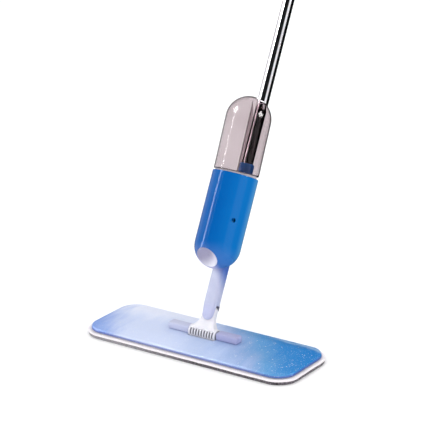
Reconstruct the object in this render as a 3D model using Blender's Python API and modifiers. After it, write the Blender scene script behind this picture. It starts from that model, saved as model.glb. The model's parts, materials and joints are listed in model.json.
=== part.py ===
"""Flat mop with a spray bottle: a cloth-covered head, a two-way joint, a housing with a pump, and a pole.

The head lies flat on the floor with the centre of its pad's underside at the origin. The pole leans
back, towards +Y, by LEAN. Everything on the pole is placed in the pole's own axes: x across, y
towards the back and z along the pole, from the tilt joint's axle.
"""

import math

import bmesh
import bpy
from mathutils import Matrix, Vector

MM = 0.001
GAP = 0.3 * MM  # between pieces that touch

# Driving sizes
LEAN = math.radians(26.6)
AXLE_Z = 24 * MM  # height of the tilt joint's axle
PLATE = (390 * MM, 132 * MM)
PLATE_CORNER = 31 * MM
PLATE_BOTTOM = 10.2 * MM
PLATE_WALL = 2.2 * MM
PLATE_SIDE = 3.6 * MM
# Each step of the plate's crown: how far in and how far up
PLATE_CROWN = ((1.2 * MM, 1.4 * MM), (19 * MM, 3.7 * MM), (8 * MM, 1.2 * MM))
PLATE_TOP = PLATE_BOTTOM + PLATE_SIDE + sum(up for _, up in PLATE_CROWN)
BASE_THICK = 2.2 * MM
PAD = (403 * MM, 145 * MM)
PAD_CORNER = 37 * MM
PILE_THICK = 4.4 * MM
BACKING_THICK = 4.0 * MM
HOOK_THICK = 0.9 * MM
SCREW_R = 1.5 * MM
SCREW_HEAD_R = 3.0 * MM

BARREL_R = 10.5 * MM
BARREL_HALF = 25.5 * MM
AXLE_R = 3.0 * MM
BAR_END = 67 * MM
BAR_TOP = 32 * MM
BAR_Y = (-8 * MM, 9 * MM)
COMB_SLOTS = 9
COMB_PITCH = 5.2 * MM
COMB_SLOT = 2.7 * MM

SWIVEL_T = 32 * MM  # along the pole, from the axle to the swivel pin
LUG_R = 12.0 * MM
LUG_Y = (-3.4 * MM, 8 * MM)
HEEL_Y = 5.5 * MM  # the lug's back face below HEEL_T, clear of the plate when the pole lies low
HEEL_T = 17 * MM
CHEEK_R = 10.8 * MM
NECK = (24 * MM, 16 * MM)
NECK_START = 47 * MM
NECK_END = 132 * MM
SPIGOT_R = 8.2 * MM
SPIGOT_TOP = 196 * MM

POLE_R = 9.5 * MM
POLE_WALL = 0.9 * MM
POLE_FOOT = 140 * MM
POLE_JOINT = 612 * MM
POLE_HEAD = 1034 * MM
POLE_SCREW_T = 172 * MM

HOUSING_R = 37.8 * MM
HOUSING_WALL = 1.6 * MM
HOUSING_Y = -26.3 * MM  # the housing's axis stands this far in front of the pole's
BOWL_T = 141 * MM  # centre of the housing's round bottom
RIM_T = 259 * MM
SHELL_SCREW = (HOUSING_Y - HOUSING_R * math.cos(math.radians(55)), 185 * MM)
SPRAY_DOWN = math.radians(45)  # below straight ahead
NOZZLE_R = 19 * MM
NOZZLE_OUT = 32.4 * MM  # from the bowl's centre to the nozzle's face

SEAT_T = 249 * MM
SEAT_THICK = 2.5 * MM
SOCKET_Y = -38 * MM
SOCKET_R = 12.6 * MM
CAP_R = 11 * MM
BOTTLE_R = 37.3 * MM
BOTTLE_WALL = 1.6 * MM
BOTTLE_FOOT = 262.4 * MM
BOTTLE_DOME = 351 * MM
GROOVE_R = 12.7 * MM
COLLAR_R = 12.0 * MM

PUMP_Y = -23 * MM
PUMP_R = 8 * MM
PUMP_T = (172 * MM, 208 * MM)
PLUNGER_TOP = 229 * MM
ROD_R = 2.5 * MM
ROD_FOOT = 230 * MM
ROD_HEAD = 1050 * MM

GRIP_T = (1000 * MM, 1150 * MM)
TRIGGER_Y = -20 * MM
TRIGGER_T = 1052 * MM
TRIGGER_THICK = 9 * MM

BLUE = (0.02, 0.21, 0.56)
LAVENDER = (0.66, 0.67, 0.82)


# Scene and materials


def clear_scene():
    for thing in list(bpy.data.objects):
        bpy.data.objects.remove(thing, do_unlink=True)


def new_collection(name):
    group = bpy.data.collections.new(name)
    bpy.context.scene.collection.children.link(group)
    return group


def material(name, colour, roughness=0.4, metallic=0.0, alpha=1.0):
    made = bpy.data.materials.new(name)
    made.use_nodes = True
    shader = made.node_tree.nodes["Principled BSDF"]
    shader.inputs["Base Color"].default_value = (*colour, 1.0)
    shader.inputs["Roughness"].default_value = roughness
    shader.inputs["Metallic"].default_value = metallic
    shader.inputs["Alpha"].default_value = alpha
    made.diffuse_color = (*colour, alpha)
    return made


def frame_empty(name, location, tilt, parent=None):
    empty = bpy.data.objects.new(name, None)
    empty.location = location
    empty.rotation_euler = (tilt, 0, 0)
    empty.parent = parent
    PARTS.objects.link(empty)
    return empty


def place(thing, name, finish, parent=None, at=(0, 0, 0), turn=(0, 0, 0)):
    """Names a piece, gives it its finish and puts it in the frame that it belongs to."""
    thing.name = name
    thing.data.name = name
    thing.data.materials.clear()
    thing.data.materials.append(finish)
    for group in list(thing.users_collection):
        group.objects.unlink(thing)
    PARTS.objects.link(thing)
    thing.parent = parent
    thing.location = at
    thing.rotation_euler = turn
    return thing


# Shapes


def object_of(mesh_maker):
    """A new object whose mesh a function fills in."""
    mesh = bpy.data.meshes.new("shape")
    bm = bmesh.new()
    mesh_maker(bm)
    bm.to_mesh(mesh)
    bm.free()
    thing = bpy.data.objects.new("shape", mesh)
    CUTTERS.objects.link(thing)
    return thing


def box(size, centre=(0, 0, 0), bevel=0.0, segments=2):
    def fill(bm):
        bmesh.ops.create_cube(bm, size=1.0)
        bmesh.ops.scale(bm, vec=size, verts=bm.verts)
        bmesh.ops.translate(bm, vec=centre, verts=bm.verts)
        if bevel:
            bmesh.ops.bevel(
                bm,
                geom=list(bm.edges),
                offset=bevel,
                offset_type="OFFSET",
                segments=segments,
                profile=0.5,
                affect="EDGES",
            )

    return object_of(fill)


def rod(radius, length, centre=(0, 0, 0), along="Z", sides=24):
    turns = {
        "X": Matrix.Rotation(math.pi / 2, 3, "Y"),
        "Y": Matrix.Rotation(-math.pi / 2, 3, "X"),
        "Z": Matrix.Identity(3),
    }

    def fill(bm):
        bmesh.ops.create_cone(
            bm,
            cap_ends=True,
            segments=sides,
            radius1=radius,
            radius2=radius,
            depth=length,
        )
        bmesh.ops.rotate(bm, matrix=turns[along], verts=bm.verts)
        bmesh.ops.translate(bm, vec=centre, verts=bm.verts)

    return object_of(fill)


def turned(profile, sides=32):
    """A closed profile of (radius, height) points, down the outside and up the inside, turned about Z."""

    def fill(bm):
        corners = [bm.verts.new((r, 0, z)) for r, z in profile]
        for i, corner in enumerate(corners):
            following = corners[(i + 1) % len(corners)]
            if corner.co.x > 0 or following.co.x > 0:
                bm.edges.new((corner, following))

    thing = object_of(fill)
    screw = thing.modifiers.new("turn", "SCREW")
    screw.steps = screw.render_steps = sides
    screw.use_merge_vertices = True
    screw.merge_threshold = 0.00001
    return baked(thing)


def baked(thing):
    """The object with its modifiers made part of its mesh."""
    bpy.context.view_layer.update()
    graph = bpy.context.evaluated_depsgraph_get()
    mesh = bpy.data.meshes.new_from_object(thing.evaluated_get(graph))
    bm = bmesh.new()
    bm.from_mesh(mesh)
    bmesh.ops.remove_doubles(bm, verts=bm.verts, dist=0.000005)
    bmesh.ops.recalc_face_normals(bm, faces=bm.faces)
    bm.to_mesh(mesh)
    bm.free()
    result = bpy.data.objects.new(thing.name, mesh)
    result.matrix_world = thing.matrix_world
    CUTTERS.objects.link(result)
    bpy.data.objects.remove(thing, do_unlink=True)
    return result


def arc(centre, radius, start, end, steps):
    """Points on an arc, with the angles in degrees, the end included."""
    angles = (math.radians(start + (end - start) * i / steps) for i in range(steps + 1))
    return [(centre[0] + radius * math.cos(a), centre[1] + radius * math.sin(a)) for a in angles]


def flat(outlines, thickness):
    """Outlines in the XY plane, the inner ones as holes, with a thickness along Z."""
    curve = bpy.data.curves.new("outline", "CURVE")
    curve.dimensions = "2D"
    curve.fill_mode = "BOTH"
    curve.extrude = thickness / 2
    for outline in outlines:
        spline = curve.splines.new("POLY")
        spline.points.add(len(outline) - 1)
        for point, (x, y) in zip(spline.points, outline):
            point.co = (x, y, 0, 1)
        spline.use_cyclic_u = True
    thing = bpy.data.objects.new("outline", curve)
    CUTTERS.objects.link(thing)
    return baked(thing)


def hose(points, radius):
    curve = bpy.data.curves.new("hose", "CURVE")
    curve.dimensions = "3D"
    curve.bevel_depth = radius
    curve.bevel_resolution = 2
    curve.use_fill_caps = True
    curve.resolution_u = 6
    spline = curve.splines.new("BEZIER")
    spline.bezier_points.add(len(points) - 1)
    for knot, point in zip(spline.bezier_points, points):
        knot.co = point
        knot.handle_left_type = knot.handle_right_type = "AUTO"
    thing = bpy.data.objects.new("hose", curve)
    CUTTERS.objects.link(thing)
    return baked(thing)


def coil(radius, wire, bottom, top, turns):
    """A spring about Z as one tube along a helix."""
    steps = 10
    curve = bpy.data.curves.new("coil", "CURVE")
    curve.dimensions = "3D"
    curve.bevel_depth = wire
    curve.bevel_resolution = 1
    curve.use_fill_caps = True
    spline = curve.splines.new("POLY")
    spline.points.add(turns * steps)
    for i, point in enumerate(spline.points):
        angle = math.tau * i / steps
        height = bottom + (top - bottom) * i / (turns * steps)
        point.co = (radius * math.cos(angle), radius * math.sin(angle), height, 1)
    thing = bpy.data.objects.new("coil", curve)
    CUTTERS.objects.link(thing)
    return baked(thing)


def rounded_rectangle(size, corner, steps=6):
    half_x, half_y = size[0] / 2 - corner, size[1] / 2 - corner
    points = []
    for quarter, (sx, sy) in enumerate(((1, 1), (-1, 1), (-1, -1), (1, -1))):
        start = 90 * quarter
        points += arc((sx * half_x, sy * half_y), corner, start, start + 90, steps)
    return points


def combine(thing, others, operation):
    """Cuts, joins or keeps the common part of meshes, and makes the result part of the first one."""
    for other in others:
        other.hide_render = True
        other.display_type = "WIRE"
        step = thing.modifiers.new(operation.lower(), "BOOLEAN")
        step.object = other
        step.operation = operation
        step.solver = "EXACT"
    result = baked(thing)
    for other in others:
        bpy.data.objects.remove(other, do_unlink=True)
    return result


def cut(thing, *cutters):
    return combine(thing, cutters, "DIFFERENCE")


def join(thing, *others):
    return combine(thing, others, "UNION")


def keep(thing, *others):
    return combine(thing, others, "INTERSECT")


def moved(thing, offset=(0, 0, 0), turn=0.0, about="X"):
    """Turns a mesh about an axis through the origin and then moves it."""
    thing.data.transform(Matrix.Translation(offset) @ Matrix.Rotation(turn, 4, about))
    return thing


def smooth(thing, angle=35):
    thing.data.shade_smooth()
    thing.data.set_sharp_from_angle(angle=math.radians(angle))
    return thing


def screw_shape(length, head=1.8 * MM):
    """A pan-head screw along Z: its head's underside is at z = 0 and its tip points down."""
    profile = [
        (0, head),
        (SCREW_HEAD_R * 0.8, head),
        (SCREW_HEAD_R, head * 0.4),
        (SCREW_HEAD_R, 0),
        (SCREW_R, 0),
        (SCREW_R, -length + 2 * MM),
        (0, -length),
    ]
    return turned(profile, 10)


# Head


def crowned_plate():
    """The top cover: a wall and a crown of inset steps, as an open surface with a thickness."""

    def fill(bm):
        outline = rounded_rectangle(PLATE, PLATE_CORNER)
        base = bm.faces.new([bm.verts.new((x, y, PLATE_BOTTOM)) for x, y in outline])
        raised = bmesh.ops.extrude_face_region(bm, geom=[base])["geom"]
        rising = [v for v in raised if isinstance(v, bmesh.types.BMVert)]
        bmesh.ops.translate(bm, vec=(0, 0, PLATE_SIDE), verts=rising)
        top = next(f for f in raised if isinstance(f, bmesh.types.BMFace))
        for inwards, upwards in PLATE_CROWN:
            bmesh.ops.inset_region(bm, faces=[top], thickness=inwards, use_even_offset=True)
            bmesh.ops.translate(bm, vec=(0, 0, upwards), verts=list(top.verts))
        low = [f for f in bm.faces if all(abs(v.co.z - PLATE_BOTTOM) < 1e-6 for v in f.verts)]
        bmesh.ops.delete(bm, geom=low, context="FACES_ONLY")

    shell = object_of(fill)
    wall = shell.modifiers.new("wall", "SOLIDIFY")
    wall.thickness = PLATE_WALL
    wall.offset = -1
    wall.use_even_offset = True
    return baked(shell)


def base_screw_places():
    return [(sx * 150 * MM, sy * 34 * MM) for sx in (-1, 1) for sy in (-1, 1)]


def bar_screw_places():
    return [(side * 55 * MM, 0.5 * MM) for side in (-1, 1)]


def make_head():
    plate = crowned_plate()
    boss_foot = PLATE_BOTTOM + BASE_THICK + 2 * GAP
    bosses = [
        rod(4 * MM, 5 * MM, (x, y, boss_foot + 2.5 * MM), sides=16) for x, y in base_screw_places()
    ]
    plate = join(plate, *bosses)
    pocket = box((2 * BARREL_HALF + 1.6 * MM, 25 * MM, 30 * MM), (0, 0, AXLE_Z))
    bores = [
        rod(SCREW_R + GAP, 4.4 * MM, (x, y, boss_foot + 1.2 * MM), sides=16)
        for x, y in base_screw_places()
    ]
    bar_holes = [rod(SCREW_R + GAP, 20 * MM, (x, y, PLATE_TOP), sides=12) for x, y in bar_screw_places()]
    plate = cut(plate, pocket, *bores, *bar_holes)
    place(smooth(plate, 20), "head_plate", material("head_plate_blue", BLUE, 0.3))

    inset = PLATE_WALL + GAP
    base = flat([rounded_rectangle((PLATE[0] - 2 * inset, PLATE[1] - 2 * inset), PLATE_CORNER - inset)], BASE_THICK)
    base = moved(base, (0, 0, PLATE_BOTTOM + BASE_THICK / 2))
    holes = [
        rod(SCREW_R + GAP, 9 * MM, (x, y, PLATE_BOTTOM), sides=16) for x, y in base_screw_places()
    ]
    sinks = [
        rod(SCREW_HEAD_R + GAP, 2.4 * MM, (x, y, PLATE_BOTTOM), sides=16)
        for x, y in base_screw_places()
    ]
    place(cut(base, *holes, *sinks), "head_base", material("base_white", (0.75, 0.76, 0.8), 0.5))

    for number, (x, y) in enumerate(base_screw_places(), 1):
        head_at = (x, y, PLATE_BOTTOM + 1.2 * MM - GAP)
        screw = screw_shape(4.5 * MM, 0.8 * MM)
        place(smooth(screw), f"base_screw_{number}", STEEL, at=head_at, turn=(math.pi, 0, 0))

    for name, side in (("hook_strip_front", -1), ("hook_strip_rear", 1)):
        strip_z = PLATE_BOTTOM - GAP - HOOK_THICK / 2
        strip = box((330 * MM, 20 * MM, HOOK_THICK), (0, side * 42 * MM, strip_z))
        place(strip, name, material(name, (0.05, 0.05, 0.06), 0.9))

    pile = flat([rounded_rectangle((PAD[0] - 6 * MM, PAD[1] - 6 * MM), PAD_CORNER - 3 * MM)], PILE_THICK)
    pile = moved(pile, (0, 0, PILE_THICK / 2))
    place(pile, "pad_pile", material("pile_grey", (0.12, 0.12, 0.13), 0.95))
    backing = flat([rounded_rectangle(PAD, PAD_CORNER)], BACKING_THICK)
    backing = moved(backing, (0, 0, PILE_THICK + GAP + BACKING_THICK / 2))
    place(backing, "pad_backing", material("backing_white", (0.85, 0.85, 0.87), 0.9))
    make_hinge_bar()


def make_hinge_bar():
    """Two blocks on the plate that carry the axle, one at each side of the yoke's barrel."""
    inner = BARREL_HALF + 2 * GAP
    width = BAR_Y[1] - BAR_Y[0]
    foot = PLATE_TOP + GAP
    for name, side in (("hinge_block_left", -1), ("hinge_block_right", 1)):
        middle = side * (inner + BAR_END) / 2
        size = (BAR_END - inner, width, BAR_TOP - foot)
        centre = (middle, (BAR_Y[0] + BAR_Y[1]) / 2, (BAR_TOP + foot) / 2)
        block = box(size, centre, bevel=2.5 * MM, segments=3)
        bore = rod(AXLE_R + GAP, 40 * MM, (side * (inner + 2 * MM), 0, AXLE_Z), "X")
        tap = rod(SCREW_R + GAP, 10 * MM, (side * 55 * MM, 0.5 * MM, foot), sides=12)
        place(smooth(cut(block, bore, tap)), name, material(name, LAVENDER, 0.4))
    place(
        smooth(rod(AXLE_R, 2 * (BARREL_HALF + 20 * MM), along="X")),
        "hinge_axle",
        STEEL,
        at=(0, 0, AXLE_Z),
    )
    for number, (x, y) in enumerate(bar_screw_places(), 1):
        head_at = (x, y, PLATE_TOP - PLATE_WALL - GAP)
        screw = screw_shape(6.5 * MM, 1.4 * MM)
        place(smooth(screw), f"block_screw_{number}", STEEL, at=head_at, turn=(math.pi, 0, 0))


# Two-way joint


def yoke_outline():
    """The yoke seen from the front: a round lug at the top that flares out to the barrel's width."""
    flare_foot = 5 * MM
    left = [
        (-(LUG_R + (BARREL_HALF - LUG_R) * step**2.2), SWIVEL_T - (SWIVEL_T - flare_foot) * step)
        for step in (0.15, 0.35, 0.55, 0.75, 0.9, 1.0)
    ]
    right = [(-x, z) for x, z in reversed(left)]
    return arc((0, SWIVEL_T), LUG_R, 0, 180, 14) + left + right


def make_yoke():
    lug = moved(flat([yoke_outline()], LUG_Y[1] - LUG_Y[0]), turn=math.pi / 2)
    lug = moved(lug, (0, (LUG_Y[0] + LUG_Y[1]) / 2, 0))
    below_heel = box((80 * MM, 20 * MM, 40 * MM), (0, HEEL_Y + 10 * MM, HEEL_T - 20 * MM))
    lug = cut(lug, below_heel)
    barrel = rod(BARREL_R, 2 * BARREL_HALF, along="X", sides=32)
    shoulder = box((2 * BARREL_HALF - 8 * MM, 13 * MM, 10 * MM), (0, -1 * MM, 9 * MM), bevel=2 * MM)
    yoke = join(lug, barrel, shoulder)
    first = -(COMB_SLOTS - 1) / 2 * COMB_PITCH
    slots = [
        box((COMB_SLOT, 7 * MM, 15 * MM), (first + i * COMB_PITCH, -BARREL_R, -1.5 * MM))
        for i in range(COMB_SLOTS)
    ]
    bore = rod(AXLE_R + GAP, 80 * MM, along="X")
    pin_hole = rod(AXLE_R + GAP, 30 * MM, (0, 0, SWIVEL_T), "Y")
    yoke = cut(yoke, bore, pin_hole, *slots)
    place(smooth(yoke), "yoke", material("yoke_white", (0.72, 0.71, 0.78), 0.45), TILT_FRAME)


def make_neck():
    """A stem with a flat tongue at its front, which turns on a pin against the yoke's lug."""
    tongue_thick = NECK[1] / 2 + LUG_Y[0] - GAP
    outline = arc((0, SWIVEL_T), CHEEK_R, 180, 360, 14)
    outline += [(NECK[0] / 2, NECK_START + 2 * MM), (-NECK[0] / 2, NECK_START + 2 * MM)]
    tongue = moved(flat([outline], tongue_thick), turn=math.pi / 2)
    tongue = moved(tongue, (0, -(NECK[1] - tongue_thick) / 2, 0))
    height = NECK_END - NECK_START
    stem = box((*NECK, height), (0, 0, NECK_START + height / 2), bevel=3 * MM, segments=2)
    spigot = rod(SPIGOT_R, SPIGOT_TOP - NECK_END + 6 * MM, (0, 0, (SPIGOT_TOP + NECK_END) / 2 - 3 * MM))
    neck = join(stem, tongue, spigot)
    pin_hole = rod(AXLE_R + GAP, 40 * MM, (0, 0, SWIVEL_T), "Y")
    place(smooth(cut(neck, pin_hole, pole_screw_hole())), "neck", NECK_WHITE, POLE_FRAME)

    pin = rod(AXLE_R, NECK[1] - 2 * MM, (0, 0, 0), "Y")
    place(smooth(pin), "swivel_pin", STEEL, POLE_FRAME, at=(0, 0, SWIVEL_T))


def pole_screw_hole():
    return rod(SCREW_R + GAP, 120 * MM, (0, 0, POLE_SCREW_T), "X", sides=12)


# Housing


def housing_shell():
    inner_r = HOUSING_R - HOUSING_WALL
    outer = arc((0, BOWL_T), HOUSING_R, 0, -90, 8)
    inner = arc((0, BOWL_T), inner_r, -90, 0, 8)
    profile = [(HOUSING_R, RIM_T), *outer, *inner, (inner_r, RIM_T)]
    profile = [(0 if abs(r) < 1e-9 else r, z) for r, z in profile]
    return moved(turned(profile, 32), (0, HOUSING_Y, 0))


def spray_axis_piece(thing):
    """Turns a piece made along +Z to look out along the spray, with its origin at the bowl's centre."""
    return moved(thing, (0, HOUSING_Y, BOWL_T), math.pi / 2 + SPRAY_DOWN)


def make_housing():
    screw_y, screw_t = SHELL_SCREW
    reach = 80 * MM
    for name, side in (("housing_left", -1), ("housing_right", 1)):
        shell = housing_shell()
        boss_half = 30 * MM
        front_boss = rod(4.2 * MM, 2 * boss_half, (0, screw_y, screw_t), "X", sides=16)
        rear_boss = rod(4.2 * MM, 2 * 27 * MM, (0, 0, POLE_SCREW_T), "X", sides=16)
        shell = join(shell, front_boss, rear_boss)
        half = box((reach, 2 * reach, 4 * reach), (side * (reach / 2 + GAP / 2), HOUSING_Y, 190 * MM))
        shell = keep(shell, half)
        neck_hole = box((NECK[0] + 2 * GAP, NECK[1] + 2 * GAP, 60 * MM), (0, 0, NECK_END - 30 * MM))
        pole_hole = rod(POLE_R + GAP, 200 * MM, (0, 0, POLE_FOOT + 98 * MM), sides=24)
        nozzle_hole = spray_axis_piece(rod(NOZZLE_R + GAP, 20 * MM, (0, 0, 34 * MM), sides=32))
        shank = rod(SCREW_R + GAP, 46 * MM, (0, screw_y, screw_t), "X", sides=12)
        cutters = [neck_hole, pole_hole, nozzle_hole, shank, pole_screw_hole()]
        if side > 0:
            for y, t, depth in ((screw_y, screw_t, 12 * MM), (0, POLE_SCREW_T, 12 * MM)):
                cutters.append(rod(3.5 * MM, 30 * MM, (depth + 15 * MM, y, t), "X", sides=16))
        place(smooth(cut(shell, *cutters)), name, material(name, BLUE, 0.25), POLE_FRAME)
    for name, y, t in (("housing_screw", screw_y, screw_t), ("pole_screw", 0, POLE_SCREW_T)):
        screw = screw_shape(30 * MM)
        place(smooth(screw), name, STEEL, POLE_FRAME, at=(12 * MM + GAP, y, t), turn=(0, math.pi / 2, 0))


def make_nozzle():
    face, rim, stem = NOZZLE_OUT, 1.5 * MM, 5 * MM
    profile = [
        (2.4 * MM, face - 5 * MM),
        (10 * MM, face - 3.2 * MM),
        (NOZZLE_R - 2.5 * MM, face - 0.4 * MM),
        (NOZZLE_R - rim, face + 0.3 * MM),
        (NOZZLE_R, face - 0.2 * MM),
        (NOZZLE_R, face - 6 * MM),
        (NOZZLE_R - rim, face - 6 * MM),
        (10 * MM, face - 6.4 * MM),
        (stem, face - 8 * MM),
        (stem, face - 15 * MM),
        (2.4 * MM, face - 15 * MM),
    ]
    bezel = spray_axis_piece(turned(profile, 32))
    place(smooth(bezel), "nozzle_bezel", material("nozzle_white", (0.72, 0.72, 0.78), 0.35), POLE_FRAME)
    tip = [
        (0, face - 3.6 * MM),
        (1.4 * MM, face - 3.8 * MM),
        (2.1 * MM, face - 5 * MM),
        (2.1 * MM, face - 12 * MM),
        (0, face - 12 * MM),
    ]
    tip = spray_axis_piece(turned(tip, 16))
    place(smooth(tip), "nozzle_tip", material("tip_grey", (0.25, 0.26, 0.3), 0.4), POLE_FRAME)


def spray_point(out):
    """The point on the spray's axis at a distance from the bowl's centre."""
    return (0, HOUSING_Y - out * math.cos(SPRAY_DOWN), BOWL_T - out * math.sin(SPRAY_DOWN))


def make_pump():
    low, high = PUMP_T
    bore = 5.8 * MM
    profile = [
        (bore, high),
        (PUMP_R, high),
        (PUMP_R, low + 3 * MM),
        (PUMP_R - 2 * MM, low),
        (0, low),
        (0, low + 4 * MM),
        (bore, low + 4 * MM),
    ]
    barrel = moved(turned(profile, 24), (0, PUMP_Y, 0))
    place(smooth(barrel), "pump_barrel", WHITE_PLASTIC, POLE_FRAME)

    flange = 6.5 * MM
    plunger = [
        (0, PLUNGER_TOP),
        (flange, PLUNGER_TOP),
        (flange, PLUNGER_TOP - 2 * MM),
        (2.6 * MM, PLUNGER_TOP - 2 * MM),
        (2.6 * MM, high - 4 * MM),
        (bore - GAP, high - 4 * MM),
        (bore - GAP, high - 9 * MM),
        (0, high - 9 * MM),
    ]
    plunger = moved(turned(plunger, 24), (0, PUMP_Y, 0))
    place(smooth(plunger), "pump_plunger", material("plunger_grey", (0.4, 0.42, 0.46), 0.4), POLE_FRAME)

    wire = 0.5 * MM
    spring = coil(4.4 * MM, wire, high + wire + GAP, PLUNGER_TOP - 2 * MM - wire - GAP, 5)
    place(smooth(moved(spring, (0, PUMP_Y, 0))), "pump_spring", STEEL, POLE_FRAME)

    stem_end = spray_point(NOZZLE_OUT - 15 * MM - GAP)
    outlet = hose(
        [(0, PUMP_Y, low - GAP), (0, PUMP_Y - 1 * MM, low - 12 * MM), stem_end], 2.2 * MM
    )
    place(smooth(outlet), "outlet_hose", HOSE_CLEAR, POLE_FRAME)
    nipple_foot = SEAT_T - 15 * MM
    side = PUMP_R + GAP
    inlet = hose(
        [
            (0, SOCKET_Y, nipple_foot - 3 * GAP),
            (0, SOCKET_Y - 4 * MM, nipple_foot - 20 * MM),
            (0, SOCKET_Y - 1 * MM, low + 14 * MM),
            (0, PUMP_Y - side - 1.2 * MM, low + 12 * MM),
        ],
        2.2 * MM,
    )
    place(smooth(inlet), "inlet_hose", HOSE_CLEAR, POLE_FRAME)

    arm_front = PUMP_Y - 5 * MM
    shaft = rod(ROD_R, ROD_HEAD - ROD_FOOT, (0, 0, (ROD_HEAD + ROD_FOOT) / 2), sides=12)
    arm = box((5 * MM, -arm_front + 2 * MM, 6 * MM), (0, arm_front / 2 + 1 * MM, ROD_FOOT + 3 * MM))
    place(smooth(join(shaft, arm)), "push_rod", STEEL, POLE_FRAME)


def make_seat():
    top = SEAT_T + SEAT_THICK
    disc = rod(HOUSING_R - HOUSING_WALL - GAP, SEAT_THICK, (0, HOUSING_Y, SEAT_T + SEAT_THICK / 2), sides=48)
    cup = rod(SOCKET_R + 1.6 * MM, 9 * MM, (0, SOCKET_Y, SEAT_T - 4 * MM), sides=24)
    nipple = rod(3 * MM, 8 * MM, (0, SOCKET_Y, SEAT_T - 11 * MM), sides=16)
    seat = join(disc, cup, nipple)
    well = rod(SOCKET_R, 12 * MM, (0, SOCKET_Y, SEAT_T - 1 * MM), sides=24)
    duct = rod(1.4 * MM, 40 * MM, (0, SOCKET_Y, SEAT_T - 12 * MM), sides=12)
    pole_way = rod(POLE_R + GAP, 40 * MM, (0, 0, SEAT_T), sides=32)
    seat = cut(seat, well, duct, pole_way)
    place(smooth(seat), "bottle_seat", WHITE_PLASTIC, POLE_FRAME)
    ring = [
        (SOCKET_R - GAP, SEAT_T - 5 * MM),
        (SOCKET_R - GAP, SEAT_T - 6.7 * MM),
        (SOCKET_R - 3 * MM, SEAT_T - 6.7 * MM),
        (SOCKET_R - 3 * MM, SEAT_T - 5 * MM),
    ]
    ring = moved(turned(ring, 24), (0, SOCKET_Y, 0))
    place(smooth(ring), "seat_seal", RUBBER_DARK, POLE_FRAME)
    collar = [
        (COLLAR_R - 1 * MM, RIM_T + 17 * MM),
        (COLLAR_R, RIM_T + 16 * MM),
        (COLLAR_R, top + GAP),
        (POLE_R + GAP, top + GAP),
        (POLE_R + GAP, RIM_T + 17 * MM),
    ]
    collar = keep(turned(collar, 32), rear_limit())
    place(smooth(collar), "pole_collar", material("collar_navy", (0.02, 0.05, 0.18), 0.4), POLE_FRAME)


def rear_limit():
    """What lies inside the housing's wall."""
    return rod(HOUSING_R - HOUSING_WALL - GAP, 200 * MM, (0, HOUSING_Y, RIM_T), sides=48)


# Bottle


def bottle_form(radius, foot, dome_r):
    dome = [(r, z) for r, z in arc((0, BOTTLE_DOME), dome_r, 90, 0, 8)]
    dome[0] = (0, dome[0][1])
    step = 2 * MM if radius == BOTTLE_R else 0
    profile = [*dome, (radius, foot + 1.2 * MM), (radius - 1.2 * MM, foot)]
    if step:
        profile += [(radius - 3 * MM, foot), (radius - 3 * MM, foot - 7 * MM), (0, foot - 7 * MM)]
    else:
        profile += [(0, foot)]
    return moved(turned(profile, 32), (0, HOUSING_Y, 0))


def groove(radius):
    """The channel that the pole lies in: round at the front, open to the back."""
    round_part = rod(radius, 300 * MM, (0, 0, BOTTLE_DOME), sides=24)
    open_part = box((2 * radius, 40 * MM, 300 * MM), (0, 20 * MM, BOTTLE_DOME))
    return join(round_part, open_part)


def make_bottle():
    outer = cut(bottle_form(BOTTLE_R, BOTTLE_FOOT, BOTTLE_R), groove(GROOVE_R))
    foot = BOTTLE_FOOT - 7 * MM
    mouth = rod(7.5 * MM, 8 * MM, (0, SOCKET_Y, foot - 3 * MM), sides=24)
    outer = join(outer, mouth)
    inner = bottle_form(BOTTLE_R - BOTTLE_WALL, BOTTLE_FOOT + 0.2 * MM, BOTTLE_R - BOTTLE_WALL)
    hollow = cut(inner, groove(GROOVE_R + BOTTLE_WALL))
    throat = rod(5.8 * MM, 40 * MM, (0, SOCKET_Y, foot), sides=24)
    shell = cut(outer, hollow, throat)
    place(smooth(shell), "bottle_shell", material("bottle_smoke", (0.4, 0.34, 0.36), 0.1, alpha=0.5), POLE_FRAME)

    skirt_top, skirt_foot = foot - GAP, SEAT_T - 4.4 * MM
    cap = [
        (CAP_R, skirt_top),
        (CAP_R, skirt_foot),
        (1.9 * MM, skirt_foot),
        (1.9 * MM, skirt_foot + 2.4 * MM),
        (7.5 * MM + GAP, skirt_foot + 2.4 * MM),
        (7.5 * MM + GAP, skirt_top),
    ]
    cap = moved(turned(cap, 24), (0, SOCKET_Y, 0))
    place(smooth(cap), "bottle_cap", material("cap_grey", (0.3, 0.3, 0.33), 0.5), POLE_FRAME)
    valve = [
        (0, skirt_foot + 5.5 * MM),
        (4.5 * MM, skirt_foot + 5.5 * MM),
        (4.5 * MM, skirt_foot + 2.7 * MM),
        (1.5 * MM, skirt_foot + 2.7 * MM),
        (1.2 * MM, skirt_foot - 0.6 * MM),
        (0, skirt_foot - 0.6 * MM),
    ]
    valve = moved(turned(valve, 16), (0, SOCKET_Y, 0))
    place(smooth(valve), "cap_valve", RUBBER_DARK, POLE_FRAME)


# Pole and grip


def tube(radius, wall, low, high, sides=32):
    profile = [(radius, high), (radius, low), (radius - wall, low), (radius - wall, high)]
    return turned(profile, sides)


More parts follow.
